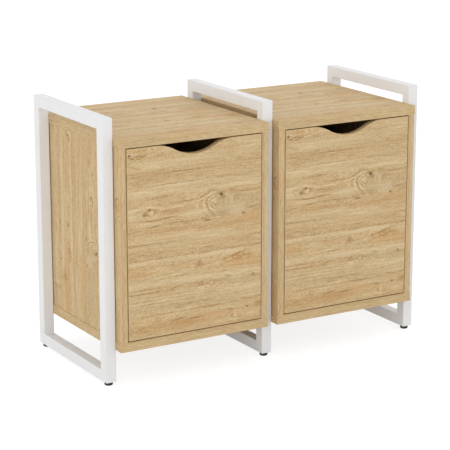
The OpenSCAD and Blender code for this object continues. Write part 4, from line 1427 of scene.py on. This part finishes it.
@dataclass
class Cabinet:
    """One cabinet's boards, edging, shelf, catch and pins."""

    side: Side
    finishes: Finishes
    arris: float = 0.4 * MM
    soft_edge: float = 0.5 * MM

    def node(self, part: str) -> str:
        """The name of one of the side's nodes."""
        return f"{self.side.word}_{part}"

    def board(self, part: str, material: Material, grain: GrainMap) -> None:
        """Dresses one board with rounded arrises and its grain.

        Args:
            part: the node's name without the side.
            material: its finish.
            grain: how the print lies on it.
        """
        node = self.node(part)
        bm = merged(node)
        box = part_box(node)
        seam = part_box(self.node("side_edging"))[1][1]

        def free(edge: BMEdge) -> bool:
            """Whether an edge is on the board's box and not in the seam with the edging."""
            sides = sum(on_plane(edge, axis, corner[axis.value]) for axis in Axis for corner in box)
            return sides >= 2 and not on_plane(edge, Axis.Y, seam)

        bevel(bm, self.arris, free)
        grain.lay(bm)
        dress(bm, node, "board", material, "carcass", Slot.OAK)

    def build_boards(self) -> None:
        """Dresses the top, the bottom, the sides, the back and the shelf."""
        middle = middle_x(self.node("top_panel"))
        level = GrainMap(Axis.X, Axis.Y, middle)
        self.board("top_panel", self.finishes.top, level)
        self.board("bottom_panel", self.finishes.plain, GrainMap(Axis.X, Axis.Y, middle, (0, 1, -1)))
        self.board("shelf", self.finishes.plain, level)
        self.board("back_panel", self.finishes.plain, GrainMap(Axis.Z, Axis.X, middle))
        for part, sign in (("outer_side", self.side.value), ("inner_side", -self.side.value)):
            self.board(part, self.finishes.side, GrainMap(Axis.Z, Axis.Y, shown=(sign, 1, 1)))

    def build_edging(self) -> None:
        """Dresses the strips on the front edges, each with its grain along it."""
        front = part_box(self.node("side_edging"))[0][1]
        for part, along in (("front_edging", Axis.X), ("side_edging", Axis.Z)):
            node = self.node(part)
            bm = merged(node)
            bevel(bm, self.soft_edge, lambda edge: on_plane(edge, Axis.Y, front))
            GrainMap(along, Axis.Y, middle_x(self.node("top_panel"))).lay(bm)
            dress(bm, node, "strips", self.finishes.edging, "carcass", Slot.EDGING)

    def build_catch(self) -> None:
        """Rounds the moulded housing of the catch and dresses the magnet and the pins."""
        node = self.node("catch_housing")
        bm = merged(node)
        bevel(bm, self.soft_edge, lambda edge: True)
        dress(bm, node, "moulded", self.finishes.white, "carcass", Slot.WHITE, Crease.MOULDED)
        paint(self.node("catch_magnet"), self.finishes.magnet)
        paint(self.node("shelf_pins"), self.finishes.zinc)
        paint(self.node("pivot_pins"), self.finishes.dark_steel)

    def build(self) -> None:
        """Builds all of the cabinet but its door."""
        self.build_boards()
        self.build_edging()
        self.build_catch()


@dataclass
class ScoopedDoor:
    """A door with a finger scoop, its edging, bushes and strike plate."""

    side: Side
    finishes: Finishes
    arris: float = 0.6 * MM
    foot_room: float = 2 * MM
    scoop_room: float = 40 * MM
    squeeze: float = 0.3

    @property
    def body(self) -> str:
        """The body that the door rides on."""
        return f"{self.side.word}_door"

    def build_board(self) -> None:
        """Dresses the board, whose edges all lie in seams with the edging."""
        bm = merged(self.body)
        GrainMap(Axis.X, Axis.Y, middle_x(self.body), (0, -1, 1)).lay(bm)
        dress(bm, self.body, "board", self.finishes.door, self.body, Slot.OAK, Crease.DOOR)

    def lay_strip_grain(self, bm: BMesh, low: float, high: float) -> None:
        """Writes the grain map of the strips, up the upright ones and along the others.

        Args:
            bm: the strips' mesh.
            low: the foot of the door.
            high: its head.
        """
        layer = bm.loops.layers.uv.new("grain")
        for face in bm.faces:
            upright = low + self.foot_room < face.calc_center_median().z < high - self.scoop_room
            for loop in face.loops:
                at = loop.vert.co
                loop[layer].uv = (at.z, at.x + at.y) if upright else (at.x, at.z * self.squeeze + at.y)

    def build_edging(self) -> None:
        """Dresses the strips round the door and rounds their outer arrises."""
        node = f"{self.body}_edging"
        low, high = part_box(node)
        bm = merged(node)

        def outer(edge: BMEdge) -> bool:
            """Whether an edge is between a strip's outer side and the door's front or rear."""
            flat = on_plane(edge, Axis.Y, low[1]) or on_plane(edge, Axis.Y, high[1])
            return flat and self.is_outside(edge, (low + high) / 2)

        bevel(bm, self.arris, outer)
        self.lay_strip_grain(bm, low[2], high[2])
        dress(bm, node, "strips", self.finishes.edging, self.body, Slot.EDGING)

    def is_outside(self, edge: BMEdge, middle: Vector) -> bool:
        """Tells the outer edges of a strip from those at the board.

        Args:
            edge: an edge of a strip.
            middle: the middle of the door.

        Returns:
            Whether the edge borders a face that looks away from the board.
        """
        for face in edge.link_faces:
            if abs(face.normal.y) <= 0.5:
                i = Axis.X.value if abs(face.normal.x) > 0.9 else Axis.Z.value
                return (face.calc_center_median()[i] - middle[i]) * face.normal[i] > 0
        return False

    def build(self) -> None:
        """Builds the door and dresses what it carries."""
        self.build_board()
        self.build_edging()
        paint(f"{self.side.word}_door_bushes", self.finishes.black)
        paint(f"{self.side.word}_strike_plate", self.finishes.zinc)


def cross_recess(arm: float, half: float, depth: float) -> Mesh:
    """Makes a cutter for a cross recess, in millimetres.

    Args:
        arm: how far each arm reaches.
        half: half an arm's width.
        depth: how deep it cuts below z = 0.

    Returns:
        The cutter, which stands 1 mm above the face.
    """
    corners = [(half, half), (half, arm), (-half, arm)]
    for _ in range(3):
        corners += [(-y, x) for x, y in corners[-3:]]
    return prism(in_mm(*corners), -depth * MM, 1 * MM, "cross")


@dataclass
class Fasteners:
    """Everything that is set many times: cam locks, bolts, screws, dowels, spacers and nuts."""

    finishes: Finishes
    lock_depth: float = 13 * MM
    bolt_length: float = 33 * MM
    bolt_head: float = 3 * MM
    screw_length: float = 13 * MM
    slack: float = 0.5 * MM

    def cam_lock(self) -> Mesh:
        """A cast lock that looks to +Z from z = 0: a bevelled rim, a dished face and a cross recess."""
        outline = in_mm((0, -13), (6.9, -13), (7.5, -12.4), (7.5, -0.4), (7.1, 0), (6.3, 0), (5.9, -0.35),
                        (0, -0.35))
        return cut(lathe(outline, 40, "cam_lock"), cross_recess(5.2, 0.9, 2.6))

    def frame_bolt(self) -> Mesh:
        """Turns a flat-headed bolt and cuts its socket.

        Returns:
            The bolt, with its head's seat at z = 0, its socket up and its shank below.
        """
        outline = in_mm((0, -30), (2.4, -30), (3, -29.4), (3, 0), (6.7, 0), (7, 0.3), (7, 1.2), (6.6, 2.0),
                        (5.8, 2.6), (4.6, 2.95), (3.6, 3), (0, 3))
        turns = [math.radians(a) for a in range(0, 360, 60)]
        hexagon = in_mm(*((2.3 * math.cos(a), 2.3 * math.sin(a)) for a in turns))
        return cut(lathe(outline, 48, "bolt"), prism(hexagon, 1 * MM, 4 * MM, "socket"))

    def screw(self) -> Mesh:
        """A countersunk screw with its head's face at z = 0."""
        outline = in_mm((0, -13), (0.7, -12), (1.5, -10), (1.5, -1.6), (2.9, -0.12), (2.85, -0.02), (2.2, 0),
                        (0, 0))
        return cut(lathe(outline, 32, "screw"), cross_recess(1.6, 0.4, 1.2))

    def face_spots(self, node: str, depth: float = 0.0, head: float = 0.0) -> list[Spot]:
        """Finds where a node's discs have their faces: on +Y, or towards the middle of their cabinet.

        Args:
            node: the CAD node.
            depth: the size along their own axis of the discs that look along x.
            head: how far a face stands out from the place that is wanted.

        Returns:
            The place and the way of each face.
        """
        spots = []
        for low, high in solid_boxes(node):
            middle = (low + high) / 2
            towards = Vector((0, 1, 0))
            if abs(high.x - low.x - depth) < self.slack:
                cabinet = math.copysign(middle_x("right_top_panel"), middle.x)
                towards = Vector((math.copysign(1.0, cabinet - middle.x), 0, 0))
                middle.x = (high.x if towards.x > 0 else low.x) - towards.x * head
            else:
                middle.y = high.y
            spots.append(Spot(middle, towards))
        return spots

    def build_set(self, node: str, spots: Sequence[Spot], pattern: Mesh, finish: str, body: str) -> None:
        """Sets a detailed piece on every solid of a CAD node.

        Args:
            node: the CAD node.
            spots: the places.
            pattern: the piece.
            finish: the last word of the result's name.
            body: what it rides on.
        """
        piece = set_in_places(spots, pattern, f"{node}_{finish}", self.finishes.zinc)
        hand_over(piece, body, Slot.ZINC, node)

    def build(self) -> None:
        """Builds the repeated pieces and dresses the rest."""
        locks = self.face_spots("cam_locks", self.lock_depth)
        bolts = self.face_spots("frame_bolts", self.bolt_length, self.bolt_head)
        screws = self.face_spots("catch_screws", self.screw_length)
        self.build_set("cam_locks", locks, self.cam_lock(), "cast", "carcass")
        self.build_set("frame_bolts", bolts, self.frame_bolt(), "turned", "carcass")
        self.build_set("catch_screws", screws, self.screw(), "turned", "carcass")
        for side in Side:
            node = f"{side.word}_strike_screws"
            self.build_set(node, self.face_spots(node), self.screw(), "turned", f"{side.word}_door")
        for node in ("post_rivet_nuts", "foot_inserts", "cam_bolts"):
            paint(node, self.finishes.zinc)
        paint("panel_dowels", self.finishes.beech)
        paint("frame_spacers", self.finishes.black)


# Studio


@dataclass
class Studio:
    """The camera of the photograph, a pale floor and even white light."""

    place: Triple = (-2.4073, -4.0266, 1.5258)
    turn: float = -0.5368
    dip: float = 0.2511
    focal_pixels: float = 1760.15
    image_width: float = 450.0
    sensor: float = 36.0
    floor_half: float = 9.0
    floor_thick: float = 0.01
    floor_white: float = 0.82
    world_light: float = 0.95
    lamp_place: Triple = (-4.5, -4.5, 0.9)
    lamp_size: float = 3.0
    lamp_power: float = 70.0
    aim: Triple = (0.0, 0.0, 0.35)

    def build_camera(self) -> None:
        """Makes the camera that was solved from the photograph's straight edges."""
        data = bpy.data.cameras.new("camera")
        data.sensor_width = self.sensor
        data.lens = self.focal_pixels / self.image_width * self.sensor
        data.clip_start, data.clip_end = 0.05, 100.0
        level = Vector((-math.sin(self.turn), math.cos(self.turn), 0.0))
        ahead = level * math.cos(self.dip) + Vector((0, 0, -math.sin(self.dip)))
        right = Vector((math.cos(self.turn), math.sin(self.turn), 0.0))
        turned = Matrix((right, right.cross(ahead), -ahead)).transposed().to_4x4()
        camera = linked("camera", data)
        camera.matrix_world = Matrix.Translation(self.place) @ turned
        bpy.context.scene.camera = camera

    @staticmethod
    def seen(bench: Bench) -> NodeSocket:
        """Tells what the camera sees, directly or in gloss and glass, from what lights the object.

        Args:
            bench: the tree's bench.

        Returns:
            1 for camera, glossy and transmission rays, and else 0.
        """
        path = bench.add("ShaderNodeLightPath").outputs
        direct = bench.math("MAXIMUM", path["Is Camera Ray"], path["Is Glossy Ray"])
        return bench.math("MAXIMUM", direct, path["Is Transmission Ray"])

    def build_floor(self) -> None:
        """Makes a pale floor that shows white to the camera and still takes a faint shadow."""
        half = self.floor_half
        corners = [(-half, -half), (half, -half), (half, half), (-half, half)]
        material = bpy.data.materials.new("floor")
        material.use_nodes = True
        bench = Bench(material.node_tree)
        material.node_tree.nodes.clear()
        lighting = bench.make("ShaderNodeBsdfDiffuse", {"Color": (0.8, 0.8, 0.8, 1)})
        faint = bench.make("ShaderNodeBsdfDiffuse", {"Color": (0.3, 0.3, 0.3, 1)})
        white = bench.make("ShaderNodeEmission", {"Color": (1, 1, 1, 1), "Strength": self.floor_white})
        both = bench.wire(bench.add("ShaderNodeAddShader"), faint.outputs[0], white.outputs[0])
        mixed = bench.wire(bench.add("ShaderNodeMixShader"), self.seen(bench), lighting.outputs[0],
                           both.outputs[0])
        bench.wire(bench.add("ShaderNodeOutputMaterial"), mixed.outputs[0])
        mesh = prism(corners, -self.floor_thick, 0.0, "floor")
        place(mesh, "floor", material)

    def build_world(self) -> None:
        """Makes an even white surround, full white where it is seen."""
        world = bpy.data.worlds.new("studio")
        bpy.context.scene.world = world
        world.use_nodes = True
        bench = Bench(world.node_tree)
        strength = bench.step(self.seen(bench), 0.0, 1.0, self.world_light, 1.0)
        bench.fill(world.node_tree.nodes["Background"], {"Color": (1, 1, 1, 1), "Strength": strength})

    def build_lamp(self) -> None:
        """Adds a square soft lamp in front, which looks at the object's middle."""
        data = bpy.data.lights.new("soft_front", "AREA")
        data.size = self.lamp_size
        data.energy = self.lamp_power
        lamp = linked("soft_front", data)
        lamp.location = self.lamp_place
        ahead = Vector(self.aim) - Vector(self.lamp_place)
        lamp.rotation_euler = ahead.to_track_quat("-Z", "Y").to_euler()

    def build(self) -> None:
        """Builds the camera, the floor and the light."""
        bpy.context.scene.view_settings.view_transform = "Standard"
        self.build_camera()
        self.build_floor()
        self.build_world()
        self.build_lamp()


def main() -> None:
    """Builds the studio and then each sub-assembly."""
    logging.basicConfig(level=logging.INFO, format="%(name)s: %(message)s")
    Studio().build()
    finishes = Finishes()
    for position in ("left", "middle", "right"):
        TubeFrame(f"{position}_frame", finishes).build()
        for end in ("front", "rear"):
            LevellingFoot(f"{position}_{end}", finishes).build()
    for side in Side:
        Cabinet(side, finishes).build()
        ScoopedDoor(side, finishes).build()
    Fasteners(finishes).build()


if __name__ == "__main__":
    main()
